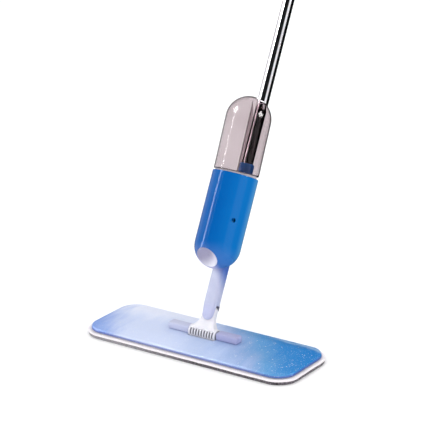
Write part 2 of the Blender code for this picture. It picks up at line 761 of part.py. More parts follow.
def make_pole():
    lower = tube(POLE_R, POLE_WALL, POLE_FOOT, POLE_JOINT)
    slot = box((6 * MM, 14 * MM, 26 * MM), (0, -POLE_R, ROD_FOOT))
    lower = cut(lower, slot, pole_screw_hole())
    place(smooth(lower), "pole_lower", CHROME, POLE_FRAME)
    upper = tube(POLE_R, POLE_WALL, POLE_JOINT + GAP, POLE_HEAD)
    place(smooth(upper), "pole_upper", CHROME, POLE_FRAME)
    plug = tube(POLE_R - POLE_WALL - GAP, 3 * MM, POLE_JOINT - 30 * MM, POLE_JOINT + 30 * MM, 24)
    place(smooth(plug), "pole_plug", WHITE_PLASTIC, POLE_FRAME)
    sleeve = tube(POLE_R + 2 * MM, 2 * MM - GAP, POLE_JOINT - 14 * MM, POLE_JOINT + 14 * MM)
    place(smooth(sleeve), "pole_sleeve", material("sleeve_grey", (0.3, 0.31, 0.34), 0.5), POLE_FRAME)


def grip_body():
    """The whole grip: a turned handle with a palm swell, and the trigger's housing in front."""
    low, high = GRIP_T
    profile = [
        (0, high),
        (13 * MM, high),
        (16 * MM, high - 4 * MM),
        (15.5 * MM, high - 20 * MM),
        (16.5 * MM, high - 45 * MM),
        (15 * MM, high - 78 * MM),
        (15.5 * MM, high - 110 * MM),
        (14.5 * MM, low + 12 * MM),
        (12.5 * MM, low),
        (0, low),
    ]
    body = turned(profile, 28)
    nose = box((22 * MM, 32 * MM, 44 * MM), (0, -14 * MM, TRIGGER_T - 4 * MM), bevel=5 * MM)
    return join(body, nose)


def make_grip():
    low, high = GRIP_T
    reach = 60 * MM
    pole_bore = rod(POLE_R + GAP, POLE_HEAD - low + 20 * MM, (0, 0, (POLE_HEAD + low) / 2 - 10 * MM + GAP))
    room = rod(8 * MM, high - POLE_HEAD - 12 * MM, (0, 0, (high + POLE_HEAD) / 2 - 6 * MM), sides=20)
    slot = box((TRIGGER_THICK + 4 * GAP, 50 * MM, 34 * MM), (0, -22 * MM, TRIGGER_T + 5 * MM))
    pin_bore = rod(2 * MM + GAP, 17 * MM, (0, TRIGGER_Y, TRIGGER_T), "X", sides=16)
    whole = cut(grip_body(), pole_bore, room, slot, pin_bore)
    screws = [(0, high - 22 * MM), (-12 * MM, TRIGGER_T - 20 * MM)]
    for name, side in (("grip_left", -1), ("grip_right", 1)):
        copy = bpy.data.objects.new(name, whole.data.copy())
        CUTTERS.objects.link(copy)
        half = box((reach, 2 * reach, 4 * reach), (side * (reach / 2 + GAP / 2), 0, (low + high) / 2))
        copy = keep(copy, half)
        cutters = []
        for y, t in screws:
            cutters.append(rod(SCREW_R + GAP, 18 * MM, (0, y, t), "X", sides=12))
            if side > 0:
                cutters.append(rod(3.4 * MM, 20 * MM, (16 * MM, y, t), "X", sides=16))
        place(smooth(cut(copy, *cutters)), name, material(name, BLUE, 0.45), POLE_FRAME)
    bpy.data.objects.remove(whole, do_unlink=True)
    for number, (y, t) in enumerate(screws, 1):
        at = (6 * MM + GAP, y, t)
        place(smooth(screw_shape(13 * MM)), f"grip_screw_{number}", STEEL, POLE_FRAME, at, (0, math.pi / 2, 0))

    pin = rod(2 * MM, 16 * MM, along="X", sides=16)
    place(smooth(pin), "trigger_pin", STEEL, POLE_FRAME, at=(0, TRIGGER_Y, TRIGGER_T))
    make_trigger()
    make_eyelet()


def make_trigger():
    """A bell crank: the finger lever runs up in front of the grip, and its short arm presses the rod."""
    nose_r = 3 * MM
    tip = (20 * MM, 1.3 * MM)
    lever = [
        (9 * MM, -1.9 * MM),
        (4 * MM, -5 * MM),
        (-4 * MM, -6 * MM),
        (-9 * MM, -2 * MM),
        (-13 * MM, 12 * MM),
        (-17.5 * MM, 30 * MM),
        (-18.5 * MM, 50 * MM),
        (-21.5 * MM, 66 * MM),
        (-18.5 * MM, 68 * MM),
        (-14.5 * MM, 52 * MM),
        (-13 * MM, 30 * MM),
        (-8 * MM, 13 * MM),
        (-3 * MM, 6 * MM),
        (6 * MM, 5 * MM),
    ]
    rounded_tip = arc(tip, nose_r, 90, -90, 6)
    lever_body = flat([lever + rounded_tip], TRIGGER_THICK)
    # The outline's x is towards the back and its y is along the pole
    lever_body = moved(lever_body, turn=math.pi / 2)
    lever_body = moved(lever_body, turn=math.pi / 2, about="Z")
    bore = rod(2 * MM + GAP, 30 * MM, along="X", sides=16)
    lever_body = cut(lever_body, bore)
    place(smooth(lever_body), "trigger", material("trigger_grey", (0.35, 0.36, 0.4), 0.5), TRIGGER_FRAME)


def make_eyelet():
    """A cap on the grip's top with a loop for a hook."""
    high = GRIP_T[1]
    middle = high + 16 * MM
    outline = arc((0, middle), 15 * MM, -40, 220, 22)
    outline += [(-13 * MM, high + GAP), (13 * MM, high + GAP)]
    hole = arc((0, middle), 9 * MM, 0, 345, 23)
    loop = moved(flat([outline, hole], 9 * MM), turn=math.pi / 2)
    loop = moved(loop, turn=math.pi / 2, about="Z")
    place(smooth(loop), "hang_loop", material("loop_grey", (0.3, 0.31, 0.34), 0.5), POLE_FRAME)


clear_scene()
PARTS = new_collection("flat_mop")
CUTTERS = new_collection("cutters")
STEEL = material("steel", (0.6, 0.6, 0.62), 0.3, 1.0)
CHROME = material("chrome", (0.85, 0.85, 0.87), 0.08, 1.0)
WHITE_PLASTIC = material("white_plastic", (0.8, 0.8, 0.82), 0.4)
NECK_WHITE = material("neck_white", LAVENDER, 0.35)
RUBBER_DARK = material("rubber_dark", (0.03, 0.03, 0.03), 0.7)
HOSE_CLEAR = material("hose_clear", (0.8, 0.82, 0.85), 0.2, alpha=0.6)
POLE_FRAME = frame_empty("pole_frame", Vector((0, 0, AXLE_Z)), -LEAN)
TILT_FRAME = frame_empty("tilt_frame", Vector((0, 0, 0)), 0, POLE_FRAME)
TRIGGER_FRAME = frame_empty("trigger_frame", Vector((0, TRIGGER_Y, TRIGGER_T)), 0, POLE_FRAME)

make_head()
make_yoke()
make_neck()
make_housing()
make_nozzle()
make_pump()
make_seat()
make_bottle()
make_pole()
make_grip()
bpy.context.view_layer.update()
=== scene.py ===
"""The looks of a flat spray mop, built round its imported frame: fine surfaces, fabric and finishes."""

import json
import math

import bmesh
import bpy
import numpy as np
from mathutils import Matrix, Vector


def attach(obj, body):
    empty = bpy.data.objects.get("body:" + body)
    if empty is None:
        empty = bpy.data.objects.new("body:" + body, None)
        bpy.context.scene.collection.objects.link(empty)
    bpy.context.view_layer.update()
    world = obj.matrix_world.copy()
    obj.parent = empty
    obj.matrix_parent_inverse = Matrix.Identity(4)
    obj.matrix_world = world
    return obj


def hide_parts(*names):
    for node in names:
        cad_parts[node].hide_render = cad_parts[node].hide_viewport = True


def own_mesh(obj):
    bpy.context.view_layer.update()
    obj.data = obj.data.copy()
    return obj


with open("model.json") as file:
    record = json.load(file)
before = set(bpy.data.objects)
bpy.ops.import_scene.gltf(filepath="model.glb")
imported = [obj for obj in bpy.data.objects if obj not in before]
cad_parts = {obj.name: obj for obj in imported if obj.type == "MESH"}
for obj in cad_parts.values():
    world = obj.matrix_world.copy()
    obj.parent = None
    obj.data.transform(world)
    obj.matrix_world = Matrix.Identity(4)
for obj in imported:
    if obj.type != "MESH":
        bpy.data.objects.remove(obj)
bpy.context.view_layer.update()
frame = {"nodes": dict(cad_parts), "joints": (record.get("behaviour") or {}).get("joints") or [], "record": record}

MM = 0.001
TAU = 2 * math.pi
JOINTS = {joint["name"]: joint for joint in frame["joints"]}

# The pole's own axes: across, to the back and along, from the tilt joint's axle
AXLE = np.array(JOINTS["head_tilt"]["pos_m"])
ACROSS = np.array(JOINTS["head_tilt"]["axis"], float)
BACK = np.array(JOINTS["neck_swivel"]["axis"])
ALONG = np.array(JOINTS["bottle_lift"]["axis"])


# Places


def on_floor(points):
    """Millimetres in the record's own axes, as metres."""
    return np.asarray(points, float) * MM


def on_pole(points):
    """Millimetres across, back and along the pole, as a point of the record."""
    p = np.asarray(points, float) * MM
    return AXLE + p[..., 0:1] * ACROSS + p[..., 1:2] * BACK + p[..., 2:3] * ALONG


def span(*nodes, of_pole=True):
    """The lowest and highest corners of CAD nodes, in millimetres, in the pole's axes or the record's."""
    points = np.concatenate([node_points(name) for name in nodes])
    if of_pole:
        points = (points - AXLE) @ np.stack([ACROSS, BACK, ALONG], axis=1)
    return points.min(axis=0) / MM, points.max(axis=0) / MM


def node_points(name):
    """A CAD node's vertices, in metres."""
    mesh = frame["nodes"][name].data
    flat = np.empty(len(mesh.vertices) * 3)
    mesh.vertices.foreach_get("co", flat)
    return flat.reshape(-1, 3)


HOUSING_LOW, HOUSING_HIGH = span("housing_left", "housing_right")
HOUSING_R = HOUSING_HIGH[0]
HOUSING_Y = HOUSING_HIGH[1] - HOUSING_R  # its axis stands this far in front of the pole's
RIM_T = HOUSING_HIGH[2]
BOWL_T = RIM_T - 118.0  # centre of the round bottom
SCREW_HOLE = (math.radians(55), 185.0)  # round from the front, and up the pole
SCREW_HOLE_R = 3.5
SHELL_WALL = 1.6
SPRAY_DOWN = math.radians(45)
NOZZLE_OUT = 32.4  # from the bowl's centre to the dish's rim
NOZZLE_R = span("nozzle_bezel")[1][0]
BOTTLE_LOW, BOTTLE_HIGH = span("bottle_shell")
BOTTLE_R = BOTTLE_HIGH[0]
BOTTLE_DOME = BOTTLE_HIGH[2] - BOTTLE_R
BOTTLE_FOOT = RIM_T + 3.4
BOTTLE_LEAN = 2.6  # degrees to the front
BOTTLE_WALL = 1.1
POLE_R = span("pole_upper")[1][0]
GROOVE_R = span("pole_collar")[1][0] + 0.7
SWIVEL_T = np.dot(np.array(JOINTS["neck_swivel"]["pos_m"]) - AXLE, ALONG) / MM
GRIP_LOW, GRIP_HIGH = (corner[2] for corner in span("grip_left", "grip_right"))
PLATE_CORNER = 31.0
PAD_CORNER = 37.0
NECK_CORNER = 4.4
NECK_FOOT = 47.0


def on_spray(points):
    """Millimetres round and out along the nozzle's axis, from the centre of the housing's bowl."""
    p = np.asarray(points, float)
    turn = np.pi / 2 + SPRAY_DOWN
    y = p[..., 1] * np.cos(turn) - p[..., 2] * np.sin(turn)
    z = p[..., 1] * np.sin(turn) + p[..., 2] * np.cos(turn)
    return on_pole(np.stack([p[..., 0], y + HOUSING_Y, z + BOWL_T], axis=-1))


# Surfaces


def new_piece(name, points, faces, sharp=40):
    """A mesh whose doubles are merged, with its faces turned outwards."""
    mesh = bpy.data.meshes.new(name)
    mesh.from_pydata(np.asarray(points).reshape(-1, 3).tolist(), [], faces)
    tidy(mesh)
    mesh.shade_smooth()
    mesh.set_sharp_from_angle(angle=math.radians(sharp))
    piece = bpy.data.objects.new(name, mesh)
    bpy.context.scene.collection.objects.link(piece)
    return piece


def tidy(mesh, merge=2e-6):
    """Merges doubles, drops faces with no area and turns the rest outwards."""
    bm = bmesh.new()
    bm.from_mesh(mesh)
    bmesh.ops.remove_doubles(bm, verts=bm.verts, dist=merge)
    bmesh.ops.dissolve_degenerate(bm, edges=bm.edges, dist=1e-7)
    bmesh.ops.recalc_face_normals(bm, faces=bm.faces)
    bm.to_mesh(mesh)
    bm.free()
    mesh.update()


def quads(rows, columns, wrap, first=0):
    """The faces between the points of a grid, the last column joined to the first where it wraps."""
    i, j = np.meshgrid(np.arange(rows - 1), np.arange(columns if wrap else columns - 1), indexing="ij")
    k = (j + 1) % columns
    corners = [i * columns + j, i * columns + k, (i + 1) * columns + k, (i + 1) * columns + j]
    return np.stack(corners, axis=-1).reshape(-1, 4) + first


def skin(name, grid, wrap=True, caps=True, sharp=40):
    """A surface through a grid of rows. Where it wraps, the first and last row are closed by one face."""
    rows, columns = grid.shape[:2]
    faces = quads(rows, columns, wrap).tolist()
    if wrap and caps:
        faces.append(list(range(columns - 1, -1, -1)))
        faces.append(list(range((rows - 1) * columns, rows * columns)))
    return new_piece(name, grid.reshape(-1, 3), faces, sharp)


def rounded(corners, radius, steps=5, closed=True):
    """A polyline with each corner replaced by a parabola that starts the radius away from it."""
    corners = np.asarray(corners, float)
    count = len(corners)
    line = []
    for i, corner in enumerate(corners):
        if not closed and i in (0, count - 1):
            line.append(corner)
            continue
        before, after = corners[i - 1] - corner, corners[(i + 1) % count] - corner
        size = [max(np.linalg.norm(arm), 1e-9) for arm in (before, after)]
        cut = min(radius, 0.45 * size[0], 0.45 * size[1])
        a, b = corner + before * cut / size[0], corner + after * cut / size[1]
        u = np.linspace(0, 1, steps + 1)[:, None]
        line.extend((1 - u) ** 2 * a + 2 * u * (1 - u) * corner + u**2 * b)
    return np.array(line)


def turned(name, profile, place, radius=0.4, sides=96, closed=True, centre=(0, 0), sharp=40):
    """A profile of (radius, height) with its corners rounded, carried round an axis."""
    line = rounded(profile, radius, closed=closed)
    angle = np.linspace(0, TAU, sides, endpoint=False)
    r, z = line[:, 0:1], line[:, 1:2]
    grid = np.stack(
        [r * np.cos(angle) + centre[0], r * np.sin(angle) + centre[1], z + 0 * angle], axis=-1
    )
    if closed:
        grid = np.concatenate([grid, grid[:1]])
    return skin(name, place(grid), caps=False, sharp=sharp)


def rounded_rectangle(half_x, half_y, corner, straight=8, bend=10):
    """Points round a rectangle: a quarter circle at each corner, turning left from the right side's
    upper end, and even steps along the sides between them."""
    x, y = half_x - corner, half_y - corner
    arc = np.linspace(0, np.pi / 2, bend + 1)
    step = np.linspace(0, 1, straight + 1)[1:-1, None]
    corners = []
    for quarter, (sign_x, sign_y) in enumerate(((1, 1), (-1, 1), (-1, -1), (1, -1))):
        a = arc + quarter * np.pi / 2
        corners.append(np.column_stack([sign_x * x + corner * np.cos(a), sign_y * y + corner * np.sin(a)]))
    whole = []
    for this, following in zip(corners, corners[1:] + corners[:1]):
        whole += [this, this[-1] + step * (following[0] - this[-1])]
    return np.concatenate(whole)


def level(line, height):
    """A flat outline at one height."""
    return np.column_stack([line, np.full(len(line), height)])


def smoothstep(value, low, high):
    """0 below low, 1 above high, and 3u^2 - 2u^3 between them."""
    u = np.clip((np.asarray(value, float) - low) / (high - low), 0, 1)
    return u * u * (3 - 2 * u)


def ripples(points, size, seed):
    """A soft random field: sines of different directions and lengths, added together, between -1 and 1."""
    maker = np.random.default_rng(seed)
    total = np.zeros(points.shape[:-1])
    for _ in range(9):
        direction = maker.normal(size=points.shape[-1])
        direction *= maker.uniform(0.6, 1.6) * TAU / (size * np.linalg.norm(direction))
        total += np.sin(points @ direction + maker.uniform(0, TAU))
    return total / 4.5


# Node graphs


class Wire:
    """A value in a material. Arithmetic on it adds Math nodes."""

    def __init__(self, finish, socket):
        self.finish, self.socket = finish, socket

    def maths(self, operation, *others):
        """Adds one Math node, with this value first."""
        values = dict(enumerate((self, *others)))
        return self.finish.node("ShaderNodeMath", {"operation": operation}, values)

    def __add__(self, other):
        return self.maths("ADD", other)

    def __sub__(self, other):
        return self.maths("SUBTRACT", other)

    def __mul__(self, other):
        return self.maths("MULTIPLY", other)

    def __truediv__(self, other):
        return self.maths("DIVIDE", other)

    def __rsub__(self, other):
        return self.finish.node("ShaderNodeMath", {"operation": "SUBTRACT"}, {0: other, 1: self})

    __radd__ = __add__
    __rmul__ = __mul__

    def step(self, low, high):
        """0 below low and 1 above high, with a soft rise between them."""
        settings = {"interpolation_type": "SMOOTHSTEP"}
        values = {"Value": self, "From Min": low, "From Max": high}
        return self.finish.node("ShaderNodeMapRange", settings, values)

    def within(self, low, high, soft):
        """1 between low and high, with soft edges."""
        return self.step(low - soft, low + soft) * (1 - self.step(high - soft, high + soft))


class Graph:
    """A tree of shader nodes, and one method that adds any node to it."""

    def __init__(self, tree):
        self.nodes, self.links = tree.nodes, tree.links

    def node(self, kind, settings, values, output=0):
        """Adds a node, sets its settings, then its inputs' values or links, and gives one output."""
        made = self.nodes.new(kind)
        for key, value in settings.items():
            if key == "stops":
                self.set_stops(made.color_ramp, value)
            else:
                setattr(made, key, value)
        for key, value in values.items():
            if isinstance(value, Wire):
                self.links.new(value.socket, made.inputs[key])
            else:
                made.inputs[key].default_value = value
        return Wire(self, made.outputs[output])

    @staticmethod
    def set_stops(ramp, stops):
        """Sets a colour ramp's stops, each a position and an sRGB colour."""
        while len(ramp.elements) < len(stops):
            ramp.elements.new(0.5)
        for element, (position, colour) in zip(ramp.elements, stops):
            element.position = position
            element.color = (*linear(colour), 1)


class Finish(Graph):
    """One material: a Principled shader, and the nodes that make it vary over the surface."""

    def __init__(self, name, colour, **constants):
        self.material = bpy.data.materials.new(name)
        self.material.use_nodes = True
        super().__init__(self.material.node_tree)
        self.shader = self.nodes["Principled BSDF"]
        self.shader.inputs["Base Color"].default_value = (*linear(colour), 1)
        for socket, value in constants.items():
            self.shader.inputs[socket.replace("_", " ")].default_value = value
        self.place = self.node("ShaderNodeTexCoord", {}, {}, "Object")

    def noise(self, scale, detail=3.0, roughness=0.5, at=None):
        """Noise of 0 to 1, with scale features to the metre."""
        values = {"Vector": at or self.place, "Scale": scale, "Detail": detail, "Roughness": roughness}
        return self.node("ShaderNodeTexNoise", {}, values, "Fac")

    def varied(self, spread, scale, detail=3.0):
        """Noise about 0, as wide as the spread."""
        return (self.noise(scale, detail) - 0.5) * spread

    def stretched(self, place, factors):
        """Coordinates multiplied along each axis, so that a pattern is drawn out along one of them."""
        return self.node("ShaderNodeVectorMath", {"operation": "MULTIPLY"}, {0: place, 1: factors})

    def mix(self, factor, first, second):
        """A colour between two, each an sRGB triple or a Wire."""
        values = {"Factor": factor}
        for key, colour in ((6, first), (7, second)):
            values[key] = colour if isinstance(colour, Wire) else (*linear(colour), 1)
        return self.node("ShaderNodeMix", {"data_type": "RGBA"}, values, 2)

    def pole_place(self):
        """Object coordinates turned into the pole's axes, in metres."""
        lean = math.atan2(ALONG[1], ALONG[2])
        values = {0: self.place, 1: tuple(AXLE)}
        moved = self.node("ShaderNodeVectorMath", {"operation": "SUBTRACT"}, values)
        values = {"Vector": moved, "Axis": (1, 0, 0), "Angle": lean}
        return self.node("ShaderNodeVectorRotate", {"rotation_type": "AXIS_ANGLE"}, values)

    def parts(self, vector=None):
        """The three coordinates, each as a Wire."""
        split = self.node("ShaderNodeSeparateXYZ", {}, {"Vector": vector or self.place}).socket.node
        return [Wire(self, output) for output in split.outputs]

    def feed(self, **wires):
        """Links Wires to the shader's sockets of these names."""
        for socket, wire in wires.items():
            self.links.new(wire.socket, self.shader.inputs[socket.replace("_", " ")])

    def bump(self, height, distance, strength):
        """Tilts the surface's light by a height, for a distance in metres."""
        values = {"Height": height, "Distance": distance, "Strength": strength}
        self.feed(Normal=self.node("ShaderNodeBump", {}, values))


def linear(colour):
    """An sRGB colour of 0 to 255 as linear light."""
    c = np.asarray(colour, float) / 255
    return tuple(np.where(c <= 0.04045, c / 12.92, ((c + 0.055) / 1.055) ** 2.4))


# Finishes


def moulded(name, colour, roughness):
    """Moulded plastic: a fine skin texture, slight flow marks and a roughness that wanders."""
    finish = Finish(name, colour, Specular_IOR_Level=0.3)
    flow = finish.noise(14, 3)
    grain = finish.noise(900, 2)
    darker = tuple(v * 0.904 for v in colour)
    lighter = tuple(min(255, v * 1.06 + 3) for v in colour)
    finish.feed(Base_Color=finish.mix(flow.step(0.3, 0.7), darker, lighter))
    finish.feed(Roughness=roughness + (flow - 0.5) * 0.12 + (grain - 0.5) * 0.06)
    finish.bump(grain + finish.noise(160, 2) * 1.5, 0.00006, 0.5)
    return finish


def droplets(finish, scale, share):
    """Round drops: where a random cell is chosen, a dome falls off with the distance from its centre."""
    values = {"Vector": finish.place, "Scale": scale}
    distance = finish.node("ShaderNodeTexVoronoi", {"feature": "F1"}, values, "Distance")
    chosen = finish.node("ShaderNodeTexVoronoi", {"feature": "F1"}, values, "Color")
    pick = finish.parts(chosen)
    size = pick[1] * 0.22 + 0.12
    return pick[0].step(1 - share, 1 - share + 0.01) * (1 - (distance / size).step(0.5, 1.0))


def misted_plate():
    """Glossy blue under a veil of fine spray. The veil is thick along a slanting band over the left
    and the middle, thin in the left front corner, and gone at the right. A painted highlight runs
    along the far right slope, and painted shade darkens the plate's lower edge."""
    finish = Finish("plate_misted_blue", (34, 118, 190), Specular_IOR_Level=0.25)
    x, y, z = finish.parts()
    cloud = finish.noise(8, 4, 0.6)
    streak = finish.stretched(finish.place, (40, 9, 1))
    drift = (cloud - 0.5) * 0.06 + (finish.noise(1.0, 4, 0.6, streak) - 0.5) * 0.09
    slant = x + y + drift
    ramp = finish.node("ShaderNodeValToRGB", {"stops": MIST_STOPS}, {"Fac": (slant + 0.1) / 0.32})
    milky = (y + drift).step(-0.01, 0.055) * (1 - slant.step(0.0, 0.07)) * 0.75
    ramp = finish.mix(milky, ramp, (236, 239, 252))
    corner = 1 - (x + y * 0.4 + drift).step(-0.215, -0.14)
    colour = finish.mix(corner * 0.8, ramp, (92, 138, 218))
    # Painted highlight: a pale streak along the back slope at the right, where light catches the far edge.
    back_slope = y + drift * 0.3
    far = back_slope.step(0.046, 0.056) * (1 - back_slope.step(0.058, 0.066)) * x.step(0.07, 0.13)
    colour = finish.mix(far * 0.45, colour, (196, 222, 240))
    clear = slant.step(0.02, 0.12)
    large, small, fine = (droplets(finish, *size) for size in ((260, 0.3), (520, 0.45), (900, 0.5)))
    wet = (large + small * 0.9 + fine * 0.6).maths("MINIMUM", 1.0)
    colour = finish.mix(wet * (0.45 + clear * 0.5), colour, (250, 252, 255))
    # Painted shade: below its rim the plate's edge is made a darker purple blue, where shade falls.
    skirt = 1 - z.step(0.0118, 0.0145)
    finish.feed(Base_Color=finish.mix(skirt * 0.75, colour, (84, 96, 168)))
    finish.feed(Roughness=0.42 - clear * 0.12 + (cloud - 0.5) * 0.15 - wet * 0.2)
    finish.bump(wet + finish.noise(700, 2) * 0.12, 0.0003, 0.5)
    return finish


MIST_STOPS = [
    (0.0, (206, 217, 244)),
    (0.16, (196, 210, 241)),
    (0.36, (180, 199, 236)),
    (0.52, (150, 176, 220)),
    (0.66, (98, 158, 212)),
    (0.80, (46, 135, 206)),
    (1.0, (27, 125, 200)),
]


def misted_neck():
    """Pale plastic under the same spray, with the clear blue at its upper right."""
    finish = Finish("neck_misted", (198, 201, 228), Specular_IOR_Level=0.3)
    x, y, t = finish.parts(finish.pole_place())
    wander = finish.varied(0.012, 22)
    blue = (t + x * 1.8 + y * 0.5 + wander).step(0.084, 0.128)
    high = (t + x * 0.6 + wander).step(0.100, 0.122)
    pale = finish.mix(finish.noise(30, 3).step(0.35, 0.7), (186, 190, 216), (198, 202, 222))
    tongue = (1 - t.step(0.036, 0.056)) * 0.7
    pale = finish.mix(tongue, pale, (184, 187, 222))
    colour = finish.mix(blue, pale, (62, 104, 182))
    finish.feed(Base_Color=finish.mix(high * 0.45, colour, (70, 100, 176)))
    finish.feed(Roughness=0.4 + finish.varied(0.14, 40))
    finish.bump(finish.noise(800, 2) + droplets(finish, 700, 0.3) * 2, 0.00008, 0.5)
    return finish


def misted_blocks():
    """The bar's lilac: pale under the spray's veil at the left, clearer at the right."""
    finish = Finish("bar_misted", (186, 186, 222), Specular_IOR_Level=0.25)
    x, _, _ = finish.parts()
    wander = finish.varied(0.03, 26)
    colour = finish.mix((x + wander).step(-0.06, 0.05), (194, 198, 222), (168, 170, 208))
    finish.feed(Base_Color=finish.mix(droplets(finish, 420, 0.25) * 0.3, colour, (232, 236, 250)))
    finish.feed(Roughness=0.45 + finish.varied(0.14, 60))
    finish.bump(finish.noise(800, 2), 0.00006, 0.5)
    return finish


def comb_white():
    """The barrel's white, with painted shade that darkens the floors of its slots."""
    finish = Finish("comb_white", (214, 212, 220), Specular_IOR_Level=0.3)
    _, y, t = finish.parts(finish.pole_place())
    reach = (y * y + t * t).maths("SQRT")
    # Painted shade: the slot floors, near the axle, are made grey where shade falls in the slots, and rougher.
    deep = 1 - reach.step(0.0078, 0.0103)
    finish.feed(Base_Color=finish.mix(deep * 0.9, (230, 229, 236), (146, 144, 152)))
    finish.feed(Roughness=0.42 + finish.varied(0.12, 60) + deep * 0.3)
    finish.bump(finish.noise(900, 2), 0.00006, 0.5)
    return finish


def housing_blue():
    """The housing's glossy blue, with the spray's pale veil under its bowl, round the nozzle. Its right
    side is painted a lighter blue, and a painted highlight runs round the back of the right side.
    """
    gloss = dict(Specular_IOR_Level=0.08, Coat_Weight=0.14, Coat_Roughness=0.04)
    finish = Finish("housing_blue", (4, 92, 172), **gloss)
    x, y, t = finish.parts(finish.pole_place())
    flow = finish.noise(11, 3)
    body = finish.mix(flow.step(0.25, 0.75), (2, 90, 170), (4, 99, 178))
    # Painted light: the right side is made a lighter blue, as light from the right falls on it.
    body = finish.mix(x.step(0.004, 0.040) * 0.75, body, (14, 116, 192))
    wander = finish.varied(0.01, 30)
    fog = 1 - (t + y * 0.35 - x * 0.25 + wander).step(0.090, 0.124)
    left = 1 - (x + wander).step(-0.012, 0.012)
    body = finish.mix(fog * (left * 0.5 + 0.14), body, (150, 158, 210))
    junction = (1 - (t + wander * 0.5).step(0.108, 0.124)) * (1 - (x + wander).step(0.004, 0.020))
    body = finish.mix(junction * 0.85, body, (198, 194, 222))
    # Painted highlight: a paler blue round the back of the right side, up to its outline.
    painted_back_highlight = (y - HOUSING_Y * MM).step(-0.008, 0.018) * x.step(0.01, 0.02) * (1 - fog)
    body = finish.mix(painted_back_highlight * 0.75, body, (104, 172, 216))
    finish.feed(Base_Color=body)
    grain = finish.noise(1100, 2)
    finish.feed(Roughness=0.13 + (flow - 0.5) * 0.06 + fog * 0.3)
    finish.bump(grain + finish.noise(120, 2), 0.00004, 0.4)
    return finish


def dish_white():
    """White plastic under the spray, with painted shade: a greyer colour over the hollow dish's upper side."""
    finish = Finish("dish_white", (222, 221, 232), Specular_IOR_Level=0.3)
    x, _, t = finish.parts(finish.pole_place())
    # Painted shade: the dish's upper side is made greyer, where shade falls in its hollow.
    painted_upper_shade = (t - x * 0.6 + finish.varied(0.008, 40)).step(0.100, 0.126)
    finish.feed(Base_Color=finish.mix(painted_upper_shade, (226, 226, 238), (160, 156, 182)))
    finish.feed(Roughness=0.4 + finish.varied(0.12, 70))
    finish.bump(finish.noise(900, 2), 0.00005, 0.5)
    return finish


def chrome():
    """Plated steel tube: a mirror with fine draw lines along it and a faint smear here and there. Behind
    the bottle its colour is painted dark, for the dark reflections there, but for a stripe of
    painted bright reflection."""
    finish = Finish("chrome_tube", (228, 226, 230), Metallic=1.0)
    place = finish.pole_place()
    lines = finish.noise(1.0, 2, 0.5, finish.stretched(place, (900, 900, 6)))
    smear = finish.noise(18, 3)
    finish.feed(Roughness=0.05 + smear.step(0.5, 0.85) * 0.08 + lines * 0.03)
    bright = finish.mix(smear.step(0.4, 0.9), (234, 232, 236), (206, 202, 210))
    x, y, t = finish.parts(place)
    round_at = x.maths("ARCTAN2", 0 - y) * (180 / math.pi)
    # Painted reflection: a narrow stripe behind the bottle is left bright.
    wear_and_painted_stripe = round_at.step(-12, -7) * (1 - round_at.step(-2, 4))
    # Painted reflection: behind the bottle the tube's colour is made nearly black, for the dark reflections seen
    # there.
    painted_dark_reflection = t.step(0.262, 0.266) * (1 - t.step(0.372, 0.376)) * (1 - wear_and_painted_stripe * 0.7)
    finish.feed(Base_Color=finish.mix(painted_dark_reflection * 0.95, bright, (20, 16, 19)))
    finish.bump(lines, 0.00002, 0.25)
    return finish


def smoked_clear():
    """Smoke-tinted clear plastic with small drops clinging to its wall."""
    finish = Finish("bottle_smoke", (219, 211, 213), IOR=1.19, Transmission_Weight=1.0)
    haze = finish.noise(16, 3)
    drops = droplets(finish, 230, 0.3) + droplets(finish, 520, 0.35)
    finish.feed(Base_Color=finish.mix(haze.step(0.3, 0.75), (219, 211, 213), (226, 219, 221)))
    finish.feed(Roughness=0.02 + haze.step(0.6, 0.9) * 0.03)
    finish.bump(drops, 0.0004, 0.06)
    return finish


def woven(name, colour, thread):
    """Close cloth: warp and weft as crossed sines a thread wide, with a fine fuzz of fibres."""
    finish = Finish(name, colour, Sheen_Weight=0.35, Sheen_Roughness=0.5, Specular_IOR_Level=0.2)
    x, y, _ = finish.parts()
    warp = (x * (TAU / thread)).maths("SINE")
    weft = (y * (TAU / thread)).maths("SINE")
    weave = warp * weft
    fuzz = finish.noise(1400, 3, 0.7)
    wear_and_painted_stripe = finish.noise(25, 4)
    shade = tuple(v * 0.93 for v in colour)
    light = (weave * 0.3 + fuzz * 0.5 + wear_and_painted_stripe * 0.4).step(0.1, 0.8)
    finish.feed(Base_Color=finish.mix(light, shade, colour))
    finish.feed(Roughness=0.9 + (fuzz - 0.5) * 0.15)
    finish.bump(weave * 0.5 + fuzz, 0.0003, 0.3)
    return finish


def looped_pile():
    """Dark loops: each cell is a round tuft, lighter at its tip, and paler towards the left."""
    finish = Finish("pile_loops", (70, 68, 72), Sheen_Weight=0.4, Roughness=0.95)
    values = {"Vector": finish.place, "Scale": 420}
    tuft = finish.node("ShaderNodeTexVoronoi", {"feature": "F1"}, values, "Distance")
    fibre = finish.noise(2200, 3, 0.7)
    tip = (1 - tuft) * 0.8 + fibre * 0.4
    ramp = [(0.3, (34, 31, 36)), (0.65, (88, 82, 90)), (1.0, (160, 152, 162))]
    loops = finish.node("ShaderNodeValToRGB", {"stops": ramp}, {"Fac": tip})
    x, _, _ = finish.parts()
    # The pile is made paler towards the left.
    paler_left = (1 - (x + finish.varied(0.08, 12)).step(-0.14, 0.06)) * 0.45
    finish.feed(Base_Color=finish.mix(paler_left, loops, (196, 193, 199)))
    finish.bump(tip, 0.0012, 1.0)
    return finish


def bare_steel():
    """Zinc-plated steel with a fine, uneven dullness."""
    finish = Finish("steel_zinc", (176, 178, 184), Metallic=1.0)
    finish.feed(Roughness=0.28 + finish.varied(0.2, 500, 2))
    finish.bump(finish.noise(1500, 2), 0.00004, 0.4)
    return finish


